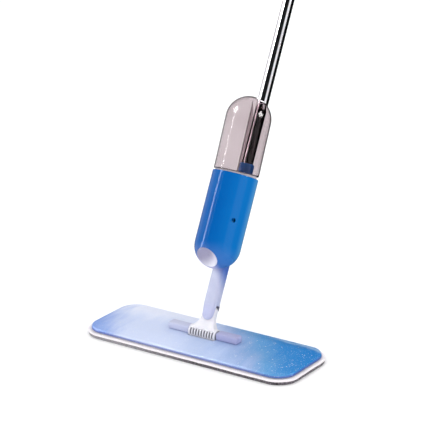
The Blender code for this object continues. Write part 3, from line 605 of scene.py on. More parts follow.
def soft_grip():
    """The grip: blue plastic, with a dark soft inlay at the palm whose ribs cross it."""
    finish = Finish("grip_two_part", (10, 96, 178), Coat_Weight=0.1)
    _, y, t = finish.parts(finish.pole_place())
    middle = (GRIP_LOW + GRIP_HIGH) / 2 * MM
    ends = (t - (middle + 0.010)).maths("ABSOLUTE")
    inlay = (1 - ends.step(0.0535, 0.0545)) * (y + ends * 0.06).step(0.0002, 0.0010)
    ribs = (t * (TAU / 0.0045)).maths("SINE").step(-0.2, 0.5)
    grain = finish.noise(1200, 2)
    finish.feed(Base_Color=finish.mix(inlay, (10, 96, 178), (44, 46, 52)))
    finish.feed(Roughness=0.34 + inlay * 0.45 + (grain - 0.5) * 0.08)
    finish.bump(inlay * (ribs * 0.6 + 1.0) + grain * 0.08, 0.0006, 0.9)
    return finish


# Showing a piece


def show(piece, finish, body, slot, *nodes):
    """Gives a piece its finish, its body and the CAD nodes that it stands for."""
    piece.data.materials.clear()
    piece.data.materials.append(finish.material)
    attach(piece, body)
    if nodes:
        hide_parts(*nodes)
    return piece


def refined(node, name, bevel):
    """A CAD node's own shape with its flat faces made whole and its edges rounded, in millimetres."""
    mesh = frame["nodes"][node].data.copy()
    mesh.name = name
    bm = bmesh.new()
    bm.from_mesh(mesh)
    bmesh.ops.remove_doubles(bm, verts=bm.verts, dist=1e-6)
    bmesh.ops.dissolve_limit(bm, angle_limit=math.radians(1), verts=bm.verts, edges=bm.edges)
    bm.to_mesh(mesh)
    bm.free()
    piece = bpy.data.objects.new(name, mesh)
    bpy.context.scene.collection.objects.link(piece)
    edge = piece.modifiers.new("round", "BEVEL")
    edge.width = bevel * MM
    edge.segments = 3
    edge.limit_method = "ANGLE"
    edge.angle_limit = math.radians(35)
    mesh.shade_smooth()
    mesh.set_sharp_from_angle(angle=math.radians(50))
    return piece


# Head


def crown(inset):
    """The plate's height over its rim for a distance in from its edge: a rounded side, a slope, a flat."""
    inset = np.asarray(inset, float)
    side = 4.6 * np.sqrt(1 - (1 - np.clip(inset / 2.2, 0, 1)) ** 2)
    slope = 4.0 * (smoothstep(inset, -6, 25) - smoothstep(0, -6, 25))
    return side + slope + 1.15 * smoothstep(inset, 16, 34)


def make_plate():
    """Rings from the rim inwards, each an outline moved in, at the crown's height for its inset. They
    end in the pocket for the barrel, and the same outlines close the plate underneath."""
    low, high = span("head_plate", of_pole=False)
    foot, full = low[2], high[2] - low[2]

    def outline(inset):
        corner = max(PLATE_CORNER - inset, 1.0)
        return rounded_rectangle(high[0] - inset, high[1] - inset, corner, 24, 12)

    rings = []
    for inset in (0.0, 0.15, 0.5, 1.0, 1.6, 2.2, 3.2, 5, 8, 11, 14, 17, 20, 23, 26, 28.5):
        rings.append(level(outline(inset), foot + min(full, crown(inset) * full / crown(40))))
    pocket = rounded_rectangle(26.4, 12.6, 1.5, 24, 12)
    edge, edge_height = rings[-1][:, :2], rings[-1][0, 2]
    for u in np.linspace(0, 1, 9)[1:]:
        line = edge + (pocket - edge) * u
        inset = np.minimum(high[1] - np.abs(line[:, 1]), high[0] - np.abs(line[:, 0]))
        rings.append(level(line, 0))
        rings[-1][:, 2] = edge_height + (foot + full - edge_height) * smoothstep(inset, 28, 36)
    for drop, narrower in ((0.4, 0.0016), (2.0, 0.004), (4.6, 0.004)):
        rings.append(level(pocket * (1 - narrower), foot + full - drop))
    for inset, height in ((34, full - 2.6), (20, full - 4.4), (3.2, 2.2), (2.2, 0.0)):
        rings.append(level(outline(inset), foot + height))
    rings.append(rings[0])
    piece = skin("plate_cover", on_floor(np.stack(rings)), caps=False, sharp=50)
    show(piece, misted_plate(), "head", "blue_plastic", "head_plate")


def make_hinge_blocks(finish):
    """The bar's two halves, at the ends of the barrel."""
    for side in ("left", "right"):
        block = refined(f"hinge_block_{side}", f"axle_block_{side}", 1.0)
        show(block, finish, "head", "pale_plastic", f"hinge_block_{side}")


def pad_ring(inset, height, reach):
    """The pad's outline, moved in by the inset, at one height."""
    half_x, half_y, corner = reach
    return level(rounded_rectangle(half_x - inset, half_y - inset, corner - inset, 120, 44), height)


def outward(grid):
    """Level directions away from the head's middle, one for each point."""
    return grid[..., :2] / np.linalg.norm(grid[..., :2], axis=-1, keepdims=True)


def make_pad():
    """The pad's cloth: outlines carried round its section, which swells at the rim and runs in under the
    plate. Ripples lift the free part and pull it in, by the share that each outline has."""
    (_, _, low), (half_x, half_y, top) = span("pad_backing", of_pole=False)
    reach = (half_x, half_y, PAD_CORNER)
    plate_edge = half_y - span("head_plate", of_pole=False)[1][1]
    section = (
        (3.0, low + 0.8, 0),
        (1.6, low + 0.75, 0.5),
        (0.45, low + 1.3, 1),
        (0.0, low + 2.0, 1),
        (0.3, low + 3.1, 1),
        (1.6, top + 0.15, 0.8),
        (3.4, top + 0.1, 0.5),
        (plate_edge - 0.6, top - 0.25, 0.2),
        (plate_edge + 3, top - 0.1, 0),
        (plate_edge + 14, top - 0.2, 0),
        (34.0, top - 0.2, 0),
        (34.0, low + 0.2, 0),
        (6.0, low - 0.4, 0),
    )
    grid = np.stack([pad_ring(inset, height, reach) for inset, height, _ in section])
    free = np.array([share for _, _, share in section])[:, None]
    grid[..., 2] += 0.35 * ripples(grid, 26.0, 3) * free
    grid[..., :2] -= outward(grid) * ((0.5 + 0.4 * ripples(grid + 40, 34.0, 5)) * free)[..., None]
    cloth = skin("pad_cloth", on_floor(np.concatenate([grid, grid[:1]])), caps=False, sharp=80)
    finish = woven("pad_cloth_white", (253, 247, 251), 0.0011)
    show(cloth, finish, "head", "microfibre_white", "pad_backing")
    make_stitches(reach, top)
    make_pile(reach[2])


def make_stitches(reach, height):
    """Thread lozenges at even steps along the bound edge: one six-sided lozenge, with a smaller one
    above it, is turned to the edge's direction and moved to each place at once."""
    pitch, length, width = 3.4, 2.4, 0.55
    line = pad_ring(2.6, 0, reach)[:, :2]
    closed = np.vstack([line, line[:1]])
    travelled = np.concatenate([[0], np.cumsum(np.linalg.norm(np.diff(closed, axis=0), axis=1))])
    starts = np.arange(0, travelled[-1] - pitch, pitch)

    def on_edge(travel):
        return np.column_stack([np.interp(travel, travelled, closed[:, k]) for k in (0, 1)])

    here, ahead = on_edge(starts), on_edge(starts + 1)
    along = (ahead - here) / np.linalg.norm(ahead - here, axis=1, keepdims=True)
    across = np.column_stack([-along[:, 1], along[:, 0]])
    ring = np.array([[0.5, 0], [0.25, 0.5], [-0.25, 0.5], [-0.5, 0], [-0.25, -0.5], [0.25, -0.5]])
    lozenge = np.concatenate([ring, 0.8 * ring])
    long, wide = lozenge[:, :1] * length, lozenge[:, 1:] * width
    flat = here[:, None] + along[:, None] * long + across[:, None] * wide
    lift = np.repeat([-0.2, 0.17], 6) + 0 * flat[..., 0] + height
    points = np.concatenate([flat, lift[..., None]], axis=-1)
    sides = [[(i + 1) % 6, i, 6 + i, 6 + (i + 1) % 6] for i in range(6)]
    ends = [list(range(6)), list(range(11, 5, -1))]
    firsts = range(0, 12 * len(starts), 12)
    faces = [[first + corner for corner in face] for first in firsts for face in sides + ends]
    thread = new_piece("pad_stitches", on_floor(points), faces)
    show(thread, woven("pad_thread", (205, 203, 212), 0.0004), "head", "microfibre_white")


def make_pile(corner):
    """Rows of tufts: outlines round the pile's edge and in over its underside. A product of two sines of
    the place in the grid raises a tuft at a time, and ripples make the tufts uneven."""
    _, high = span("pad_pile", of_pole=False)
    half = (high[0] + 1.4, high[1] + 1.4, corner - 1.6)
    top = high[2] + 0.5
    edge = (
        (2.6, top, 0),
        (0.5, top - 0.3, 0.3),
        (0.0, 3.6, 1),
        (0.0, 2.7, 1),
        (0.1, 1.8, 1),
        (0.5, 0.9, 1),
        (1.2, 0.35, 1),
    )
    section = [*edge, *((inset, 0.45, 1) for inset in np.linspace(2.4, 33.0, 26))]
    grid = np.stack([pad_ring(inset, height, half) for inset, height, _ in section])
    free = np.array([share for _, _, share in section])[:, None]
    column = np.arange(grid.shape[1])[None, :]
    row = np.arange(len(section))[:, None]
    tuft = np.abs(np.sin(column * np.pi / 4 + row * 1.3) * np.sin(row * 1.55 + 0.6 * np.sin(column * 0.7)))
    tuft = tuft * 0.7 + 0.3 * ripples(grid, 5.0, 11)
    side = np.clip(1 - row / len(edge), 0, 1)
    grid[..., :2] -= outward(grid) * ((1 - tuft) * 0.9 * free * side)[..., None]
    grid[..., 2] += np.where(row >= len(edge) - 1, -0.42 * tuft, 0.15 * tuft) * free
    grid[..., 2] = np.maximum(grid[..., 2], 0.02)
    piece = skin("pad_tufts", on_floor(grid), caps=True, sharp=180)
    show(piece, looped_pile(), "head", "microfibre_grey", "pad_pile")


# Two-way joint


def make_yoke(finish):
    """Rounded rectangles stacked down the pole: an arc over the swivel pin, then a width that flares as
    the 2.2th power of the way down. The front swells to cover the barrel."""
    make_comb_barrel(comb_white())
    lug, reach, crest = 12.0, 14.4, SWIVEL_T + 12.0
    half = span("yoke")[1][0]
    turn = np.linspace(math.acos(12.0 / reach), math.asin(lug / reach), 8)
    top = np.concatenate([[crest, crest], SWIVEL_T + reach * np.cos(turn)])
    top_width = np.concatenate([[0.02, 4.0], reach * np.sin(turn)])
    low = np.concatenate([np.linspace(top[-1], SWIVEL_T, 5)[1:-1], np.linspace(SWIVEL_T, 3.0, 34)])
    share = (SWIVEL_T - low) / (SWIVEL_T - 5.0)
    heights = np.concatenate([top, low])
    widths = np.concatenate([top_width, lug + (half - 0.6 - lug) * np.clip(share, 0, 1) ** 2.2])
    front = -3.4 - 4.6 * smoothstep(-heights, -20.5, -9.0)
    back = 5.9 - 0.4 * smoothstep(-heights, -18.0, -12.5)
    grid = []
    for height, wide, ahead, behind in zip(heights, widths, front, back):
        deep = (behind - ahead) / 2
        corner = max(min(1.8, wide * 0.9, deep * 0.9), 0.01)
        line = rounded_rectangle(max(wide, corner + 0.01), deep, corner, 6, 5)
        grid.append(level(line + [0, (ahead + behind) / 2], height))
    body = skin("yoke_body", on_pole(np.array(grid)), sharp=60)
    show(body, finish, "yoke", "white_plastic", "yoke")


def make_comb_barrel(finish):
    """A barrel whose front is cut by slots: its radius drops where a slot and the front meet, and falls
    as a quarter circle at both ends."""
    half = span("yoke")[1][0]
    radius, depth, pitch, width, slots = 10.5, 4.6, 5.2, 2.9, 9
    centres = pitch * (np.arange(slots) - slots // 2)
    walls = np.array([-width / 2 - 0.15, -width / 2, width / 2, width / 2 + 0.15])
    ends = half - np.array([0, 0.1, 0.4])
    x = np.sort(np.concatenate([-ends, ends, (centres[:, None] + walls).ravel()]))
    front_low, front_high = math.radians(-46), math.radians(28)
    marks = [front_low, front_low + 0.015, front_high - 0.015, front_high]
    angle = np.sort(np.concatenate([np.linspace(-np.pi, np.pi, 73)[:-1], marks]))
    in_slot = np.any(np.abs(x[:, None] - centres) <= width / 2 + 1e-6, axis=1)
    in_front = (angle >= front_low + 0.01) & (angle <= front_high - 0.01)
    r = radius - depth * (in_slot[:, None] & in_front[None, :])
    rim = np.minimum((half - np.abs(x)) / 0.4, 1.0)
    r = r - 0.4 * (1 - np.sqrt(1 - (1 - rim) ** 2))[:, None]
    a = angle[None, :]
    grid = np.stack([x[:, None] + 0 * a, -r * np.cos(a), r * np.sin(a)], axis=-1)
    barrel = skin("yoke_comb", on_pole(grid), sharp=30)
    show(barrel, finish, "yoke", "white_plastic", "yoke")


def make_neck(finish):
    """The stem: one rounded rectangle carried up the pole. A short guard of the same section, cut flat
    at its front, stands behind the yoke's lug. Its grey is painted shade, for the dark gap there."""
    low, high = span("neck")
    half_x, half_y = high[0], -low[1]
    stem = rounded_rectangle(half_x, half_y, NECK_CORNER, 6, 8)
    heights = np.concatenate([[NECK_FOOT], np.linspace(NECK_FOOT + 2, 136, 24)])
    piece = skin("neck_stem", on_pole(np.array([level(stem, height) for height in heights])), sharp=50)
    show(piece, finish, "handle", "pale_plastic", "neck")
    make_tongue(half_x, half_y, finish)
    skirt = []
    for height, tuck in ((39.0, 0.5), (39.4, 0.1), (40.0, 0.0), (46.9, 0.0), (47.2, 0.4), (50.0, 0.4)):
        line = rounded_rectangle(half_x - tuck, half_y - tuck, NECK_CORNER - tuck, 6, 8)
        line[:, 1] = np.maximum(line[:, 1], 6.2)
        skirt.append(level(line, height))
    guard = skin("neck_guard", on_pole(np.array(skirt)), sharp=50)
    # Painted shade: the guard is grey so that the gap beside the yoke's lug looks shaded.
    show(guard, moulded("guard_painted_shade", (122, 122, 138), 0.6), "handle", "pale_plastic", "neck")


def make_tongue(half_x, half_y, finish):
    """The front slice of the stem's own section, carried down: its half width follows the stem, then
    closes as a circle round the swivel pin. Its top is tucked inside the stem."""
    radius, inner, tucked_from = 10.2, -3.7, NECK_FOOT - 0.1
    angle = np.linspace(0, np.pi / 2, 18)
    rise = np.linspace(SWIVEL_T, tucked_from, 14)[1:]
    heights = np.concatenate([SWIVEL_T - radius * np.cos(angle), rise, [NECK_FOOT + 0.2, NECK_FOOT + 3]])
    flare = np.linspace(radius, half_x, 14)[1:]
    widths = np.concatenate([radius * np.sin(angle) + 0.02, flare, [half_x, half_x]])
    grid = []
    for height, half in zip(heights, widths):
        corner = max(min(NECK_CORNER, half * 0.9), 0.01)
        line = rounded_rectangle(max(half, corner + 0.01), half_y, corner, 6, 8)
        edge = 0.9 * np.clip(1 - (height - heights[0]) / 1.2, 0, 1)
        tuck = 0.4 if height > tucked_from else 0.0
        line[:, 0] *= 1 - tuck / half_x
        line[:, 1] = np.minimum(np.maximum(line[:, 1], -half_y + edge + tuck), inner)
        grid.append(level(line, height))
    show(skin("neck_tongue", on_pole(np.array(grid)), sharp=60), finish, "handle", "pale_plastic", "neck")


# Housing


def bowl_rows(v, side):
    """Rows over the bowl, from the nozzle's hole to the level where the bowl ends: turned step by step
    along the great circle between a point of the hole's rim and one of the bowl's edge."""
    out = np.array([0, -math.cos(SPRAY_DOWN), -math.sin(SPRAY_DOWN)])
    up = np.array([0, -math.sin(SPRAY_DOWN), math.cos(SPRAY_DOWN)])
    open_angle = math.asin((NOZZLE_R + 0.35) / HOUSING_R)
    around = np.stack([side * np.sin(v), 0 * v, 0 * v], axis=-1) + np.cos(v)[:, None] * up
    start = out * math.cos(open_angle) + around * math.sin(open_angle)
    end = np.stack([side * np.sin(v), -np.cos(v), 0 * v], axis=-1)
    between = np.arccos(np.clip((start * end).sum(axis=-1), -1, 1))[:, None]
    u = np.linspace(0, 1, 26)[:-1, None, None]
    rows = (np.sin((1 - u) * between) * start + np.sin(u * between) * end) / np.sin(between)
    return rows * HOUSING_R + np.array([0, HOUSING_Y, BOWL_T])


def wall_point(v, t, side, drop=0.0):
    """A point of the round wall: an angle from the front, a height, and how far it drops inwards."""
    r = HOUSING_R - drop
    return np.stack([side * r * np.sin(v), HOUSING_Y - r * np.cos(v), t + 0 * v], axis=-1)


def make_housing(finish):
    """Two half shells, each a grid of angles from the front seam to the back seam and of heights from
    the nozzle's hole to the rim. In the right one a square of cells gives way to a round screw hole."""
    hole_v, hole_t = SCREW_HOLE
    reach, cells = 6.0, 8
    wide = reach / HOUSING_R
    v = np.concatenate([
        [0, 0.008, 0.02],
        np.linspace(0.05, hole_v - wide, 22)[:-1],
        np.linspace(hole_v - wide, hole_v + wide, cells + 1),
        np.linspace(hole_v + wide, np.pi - 0.05, 44)[1:],
        [np.pi - 0.02, np.pi - 0.008, np.pi],
    ])
    t = np.concatenate([
        np.linspace(BOWL_T, hole_t - reach, 12)[:-1],
        np.linspace(hole_t - reach, hole_t + reach, cells + 1),
        np.linspace(hole_t + reach, RIM_T - 1.2, 22)[1:],
        [RIM_T - 0.8, RIM_T - 0.35, RIM_T - 0.05],
    ])
    drop = np.interp(RIM_T - t, [0.05, 0.35, 0.8, 1.2], [0.8, 0.3, 0.06, 0.0])[:, None]
    column = int(np.argmin(np.abs(v - (hole_v - wide))))
    for name, side in (("left", -1), ("right", 1)):
        bowl = bowl_rows(v, side)
        grid = seam(np.concatenate([bowl, wall_point(v[None, :], t[:, None], side, drop)]), v, side)
        faces = quads(*grid.shape[:2], wrap=False).reshape(grid.shape[0] - 1, grid.shape[1] - 1, 4)
        points = grid.reshape(-1, 3)
        if side > 0:
            row = len(bowl) + int(np.argmin(np.abs(t - (hole_t - reach))))
            kept = np.ones(faces.shape[:2], bool)
            kept[row : row + cells, column : column + cells] = False
            patch, patch_faces = hole_patch(grid[row : row + cells + 1, column : column + cells + 1])
            faces = np.concatenate([faces[kept], patch_faces + len(points)])
            points = np.concatenate([points, patch])
        shell = new_piece(f"housing_shell_{name}", on_pole(points), faces.reshape(-1, 4).tolist(), sharp=60)
        turn_outwards(shell, on_pole(np.array([0, HOUSING_Y, 200.0])))
        thicken(shell, SHELL_WALL)
        show(shell, finish, "handle", "blue_plastic", f"housing_{name}")
    make_screw_well(finish)


def make_screw_well(finish):
    """A short tube behind the screw hole, turned round an axis that runs across the housing."""
    hole_v, hole_t = SCREW_HOLE
    hole_y = HOUSING_Y - HOUSING_R * math.cos(hole_v)
    profile = [(4.1, 29.2), (4.1, 12.4), (SCREW_HOLE_R, 12.4), (SCREW_HOLE_R, 29.2)]

    def across(grid):
        return on_pole(np.stack([grid[..., 2], grid[..., 1] + hole_y, grid[..., 0] + hole_t], axis=-1))

    show(turned("screw_well", profile, across, 0.1, 32), finish, "handle", "blue_plastic")


def seam(grid, v, side):
    """Keeps the two halves a hair apart, and sinks their edges a little towards the bowl's centre, or
    above it towards the axis."""
    gap = 0.06
    sink = np.interp(np.minimum(v, np.pi - v), [0, 0.008, 0.02], [0.12, 0.03, 0.0])[None, :, None]
    inwards = np.array([0, HOUSING_Y, 0]) - grid
    inwards[..., 2] = np.maximum(BOWL_T - grid[..., 2], 0)
    grid = grid + inwards / np.linalg.norm(inwards, axis=-1, keepdims=True) * sink
    grid[..., 0] = grid[..., 0] * (1 - gap / HOUSING_R) + side * gap
    return grid


def unrolled(points):
    """Points of the round wall as lengths round it and heights, in millimetres."""
    turn = np.arctan2(points[..., 0], HOUSING_Y - points[..., 1])
    return np.stack([HOUSING_R * turn, points[..., 2]], axis=-1)


def hole_patch(block):
    """Rings between the edge of a square block of the wall and a circle in its middle: each point moves
    in a straight line on the unrolled wall."""
    square = np.concatenate([block[0, :-1], block[:-1, -1], block[-1, :0:-1], block[:0:-1, 0]])
    flat = unrolled(square)
    middle = np.array([HOUSING_R * SCREW_HOLE[0], SCREW_HOLE[1]])
    angle = np.arctan2(flat[:, 1] - middle[1], flat[:, 0] - middle[0])
    circle = middle + SCREW_HOLE_R * np.column_stack([np.cos(angle), np.sin(angle)])
    steps = np.linspace(0, 1, 5)[:, None, None]
    mixed = flat * (1 - steps) + circle * steps
    rings = wall_point(mixed[..., 0] / HOUSING_R, mixed[..., 1], 1)
    rings[0] = square
    return rings.reshape(-1, 3), quads(len(rings), len(square), wrap=True)


def turn_outwards(piece, centre):
    """Turns an open shell's faces away from a point inside it."""
    mesh = piece.data
    away = sum((Vector(p.center) - Vector(centre)).dot(p.normal) * p.area for p in mesh.polygons)
    if away < 0:
        mesh.flip_normals()


def thicken(piece, wall):
    """Gives a shell a wall, in millimetres, inwards from its outer face."""
    shell = piece.modifiers.new("wall", "SOLIDIFY")
    shell.thickness = wall * MM
    shell.offset = -1


def make_nozzle():
    """The dish and the tip in it: profiles turned round the spray's axis."""
    finish = dish_white()
    out = NOZZLE_OUT
    dish = [(2.3, out - 5.6), (5, out - 5.3), (9, out - 4.3), (13, out - 2.8), (16.2, out - 0.9)]
    rim = [(17.2, out + 0.25), (18.2, out + 0.35), (NOZZLE_R, out - 0.5), (NOZZLE_R, out - 6)]
    back = [(17.4, out - 6.0), (10, out - 6.4), (5, out - 8), (5, out - 15), (2.3, out - 15)]
    bezel = turned("spray_dish", dish + rim + back, on_spray, 0.5, 96)
    show(bezel, finish, "handle", "white_plastic", "nozzle_bezel")
    bore = [(0.5, out - 12), (0.35, out - 9), (0.35, out - 5.2)]
    outside = [(1.2, out - 5.3), (2.0, out - 5.6), (2.0, out - 12)]
    tip = turned("spray_tip", bore[1:] + outside + bore[:1], on_spray, 0.2, 32)
    show(tip, finish, "handle", "white_plastic", "nozzle_tip")


# Bottle


def bottle_section(radius, groove, count=(150, 14, 44)):
    """The bottle's outline at one level: an arc, then the groove's straight wall, its round bottom
    and its other wall. Where the arc is too small to meet the groove, the groove's points gather."""
    depth = -HOUSING_Y
    if radius > math.hypot(groove, depth):
        open_angle = math.asin(groove / radius)
        wall = np.linspace(radius * math.cos(open_angle), depth, count[1] + 1)[:-1]
        side = np.column_stack([np.full(count[1], groove), wall])
        start = 0.0
    elif radius > depth - groove:
        open_angle = math.acos(min(1.0, (radius**2 + depth**2 - groove**2) / (2 * radius * depth)))
        side = np.tile([radius * math.sin(open_angle), radius * math.cos(open_angle)], (count[1], 1))
        start = math.atan2(depth - side[0, 1], side[0, 0])
    else:
        open_angle = 0.0
        side = np.tile([0.0, radius], (count[1], 1))
        start = None
    if start is None:
        bottom = np.tile([0.0, radius], (count[2] + 1, 1))
    else:
        turn = np.linspace(start, np.pi - start, count[2] + 1)
        bottom = np.column_stack([groove * np.cos(turn), depth - groove * np.sin(turn)])
    angle = np.linspace(-open_angle, -TAU + open_angle, count[0] + 1)[1:]
    arc = radius * np.column_stack([np.sin(angle), np.cos(angle)])
    return np.concatenate([side, bottom, side[::-1] * [-1, 1], arc])


def soften(line, passes=4):
    """A closed line whose points move towards their neighbours' middle, which rounds its corners."""
    for _ in range(passes):
        line = line + 0.5 * ((np.roll(line, 1, axis=0) + np.roll(line, -1, axis=0)) / 2 - line)
    return line


def bottle_row(radius, groove, height):
    """One softened outline round the bottle's own axis."""
    return level(soften(bottle_section(radius, groove)) + [0, HOUSING_Y], height)


def bottle_skin(radius, groove, foot, shoulder):
    """Outlines up the bottle's side and over its dome: the radius follows a quarter circle there."""
    heel = ((0, 1.6), (0.25, 0.9), (0.9, 0.25), (1.8, 0))
    heights = [(foot + up, radius - inset) for up, inset in heel]
    heights += [(t, radius) for t in np.linspace(foot + 6, shoulder, 16)]
    dome = np.linspace(0, np.pi / 2, 40)[1:-1]
    heights += [(shoulder + radius * math.sin(a), radius * math.cos(a)) for a in dome]
    heights.append((shoulder + radius, 0.05))
    return np.array([bottle_row(r, groove, t) for t, r in heights])


def leant(points):
    """The bottle's own lean of a few degrees to the front: a turn about the middle of its foot."""
    angle = math.radians(BOTTLE_LEAN)
    y, t = points[..., 1] - HOUSING_Y, points[..., 2] - BOTTLE_FOOT
    leaning = (y * math.cos(angle) - t * math.sin(angle), y * math.sin(angle) + t * math.cos(angle))
    return np.stack([points[..., 0], leaning[0] + HOUSING_Y, leaning[1] + BOTTLE_FOOT], axis=-1)


def make_bottle(finish):
    """The clear wall is an outer skin and an inner one that is turned inside out, in one mesh."""
    wall = BOTTLE_WALL
    outer = bottle_skin(BOTTLE_R, GROOVE_R, BOTTLE_FOOT, BOTTLE_DOME)
    inner = bottle_skin(BOTTLE_R - wall, GROOVE_R + wall, BOTTLE_FOOT + wall, BOTTLE_DOME)
    bottle = skin("bottle_clear", on_pole(leant(outer)), sharp=70)
    inside = skin("bottle_inner_wall", on_pole(leant(inner)), sharp=70)
    inside.data.flip_normals()
    bm = bmesh.new()
    bm.from_mesh(bottle.data)
    bm.from_mesh(inside.data)
    bm.to_mesh(bottle.data)
    bm.free()
    bpy.data.objects.remove(inside)
    bottle.data.shade_smooth()
    bottle.data.set_sharp_from_angle(angle=math.radians(70))
    show(bottle, finish, "bottle", "smoke_clear", "bottle_shell")
    make_bottle_foot()


def make_bottle_foot():
    """The part of the bottle that goes down into the housing: outlines with the groove cut in them."""
    radius, low = BOTTLE_R - 3, BOTTLE_LOW[2] + 6.0
    heights = ((low, radius - 1), (low + 0.6, radius), (BOTTLE_FOOT + 0.2, radius))
    rows = [bottle_row(r, GROOVE_R + 0.4, t) for t, r in heights]
    rows[-1] = leant(rows[-1])
    ring = skin("bottle_foot", on_pole(np.array(rows)), sharp=60)
    show(ring, moulded("foot_clear", (214, 208, 214), 0.3), "bottle", "smoke_clear")


# Pole and grip


def make_pole(finish, grey):
    """Two tubes, and the sleeve over their joint with a groove near each end: all turned profiles."""
    for name, node in (("tube_lower", "pole_lower"), ("tube_upper", "pole_upper")):
        low, high = span(node)
        profile = [(POLE_R, high[2]), (POLE_R, low[2]), (POLE_R - 0.9, low[2]), (POLE_R - 0.9, high[2])]
        show(turned(name, profile, on_pole, 0.3, 128), finish, "handle", "chrome_tube", node)
    low, high = span("pole_sleeve")
    r, foot, top = high[0], low[2], high[2]
    profile = [
        (r - 0.9, top), (r, top - 2.5), (r, top - 7), (r - 0.5, top - 8), (r, top - 9),
        (r, foot + 9), (r - 0.5, foot + 8), (r, foot + 7), (r, foot + 2.5), (r - 0.9, foot),
        (POLE_R + 0.3, foot), (POLE_R + 0.3, top),
    ]
    show(turned("joint_sleeve", profile, on_pole, 0.6, 96), grey, "handle", "grey_plastic", "pole_sleeve")


def make_collar(finish):
    """The collar that the bottle's groove closes round: a ring with a lip at its foot."""
    low, high = span("pole_collar")
    r, foot, top = high[0], low[2], high[2] + 6.5
    profile = [
        (r - 0.8, top), (r, top - 0.8), (r, foot + 4), (r - 0.5, foot + 3), (r, foot + 2), (r, foot),
        (POLE_R + 0.3, foot), (POLE_R + 0.3, top),
    ]
    show(turned("bottle_collar", profile, on_pole, 0.4, 72), finish, "handle", "navy_plastic", "pole_collar")


def make_spring():
    """Gives the coil a mesh of its own. The share of its length that the pump's stroke would leave, and its foot,
    are worked out but not used.
    """
    low, high = span("pump_spring")
    stroke = max(abs(end) for end in JOINTS["pump_stroke"]["range_m"]) / MM
    keep = 1 - (stroke + 0.2) / (high[2] - low[2])
    foot = on_pole(np.array([0.0, (low[1] + high[1]) / 2, low[2]]))
    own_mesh(frame["nodes"]["pump_spring"])


def make_grip(finish):
    """Each half: half circles from the front seam to the back seam, stacked up the pole. Where the
    trigger pivots, a nose grows in front, by a low power of the angle's cosine."""
    low, high = GRIP_LOW, GRIP_HIGH
    pivot = np.dot(np.array(JOINTS["trigger_squeeze"]["pos_m"]) - AXLE, ALONG) / MM
    ends = ([low, low + 0.3, low + 1.2], [high - 4, high - 2.2, high - 0.9, high - 0.2, high])
    heights = np.concatenate([ends[0], np.linspace(low + 4, high - 6, 60), ends[1]])[:, None]
    outline = (
        (low, 11.6),
        (low + 0.3, 12.2),
        (low + 1.2, 12.6),
        (low + 12, 14.4),
        (high - 110, 15.4),
        (high - 78, 15.0),
        (high - 45, 16.4),
        (high - 20, 15.5),
        (high - 6, 15.9),
        (high - 2.2, 15.0),
        (high - 0.9, 14.0),
        (high, 12.2),
    )
    radius = np.interp(heights, *zip(*outline))
    nose = smoothstep(heights, pivot - 27, pivot - 19) * (1 - smoothstep(heights, pivot + 13, pivot + 19))
    seams = np.array([0, 0.02, 0.06])
    v = np.concatenate([seams, np.linspace(0.12, np.pi - 0.12, 46), np.pi - seams[::-1]])
    ahead = np.clip(np.cos(v), 0, 1)
    x = np.where(v < 0.02, 0.0, radius * np.sin(v) * (1 - nose * 0.3 * ahead**0.5))
    y = -radius * np.cos(v) - nose * 14.0 * ahead**0.35
    sink = 1 - np.interp(np.minimum(v, np.pi - v), seams, [0.25, 0.06, 0]) / radius
    for name, side in (("left", -1), ("right", 1)):
        grid = np.stack([side * (x * sink + 0.1), y * sink, heights + 0 * x], axis=-1)
        closed = np.concatenate([grid, grid[:, -1:]], axis=1)
        half = skin(f"grip_shell_{name}", on_pole(closed), sharp=50)
        show(half, finish, "handle", "blue_plastic", f"grip_{name}")


# Room


def make_studio():
    """A pale paper floor that only its upper side shows, a white room and four soft lights."""
    corners = 30 * np.array([[-1, -1, 0], [1, -1, 0], [1, 1, 0], [-1, 1, 0]])
    floor = new_piece("floor", corners, [[0, 1, 2, 3]])
    glow = dict(Emission_Color=(1, 1, 1, 1), Emission_Strength=0.07)
    paper = Finish("floor_paper", (250, 250, 251), Roughness=0.9, **glow)
    paper.feed(Base_Color=paper.mix(paper.noise(3, 2), (249, 249, 250), (252, 252, 253)))
    below = paper.node("ShaderNodeNewGeometry", {}, {}, "Backfacing")
    paper.feed(Alpha=(1 - reflected(paper)) * (1 - below))
    floor.data.materials.append(paper.material)
    floor.visible_glossy = False
    make_surroundings()
    soft_light("key", (-1.9, -2.4, 2.6), (0, 0, 0.3), (1.2, 1.8), 12)
    soft_light("side", (3.0, -0.6, 1.6), (0, 0, 0.3), (1.0, 2.2), 9)
    soft_light("back", (-0.7, 2.6, 2.2), (0, 0, 0.1), (1.4, 1.0), 16)
    soft_light("fill", (1.4, -3.2, 0.7), (0, 0, 0.1), (2.4, 0.8), 14)


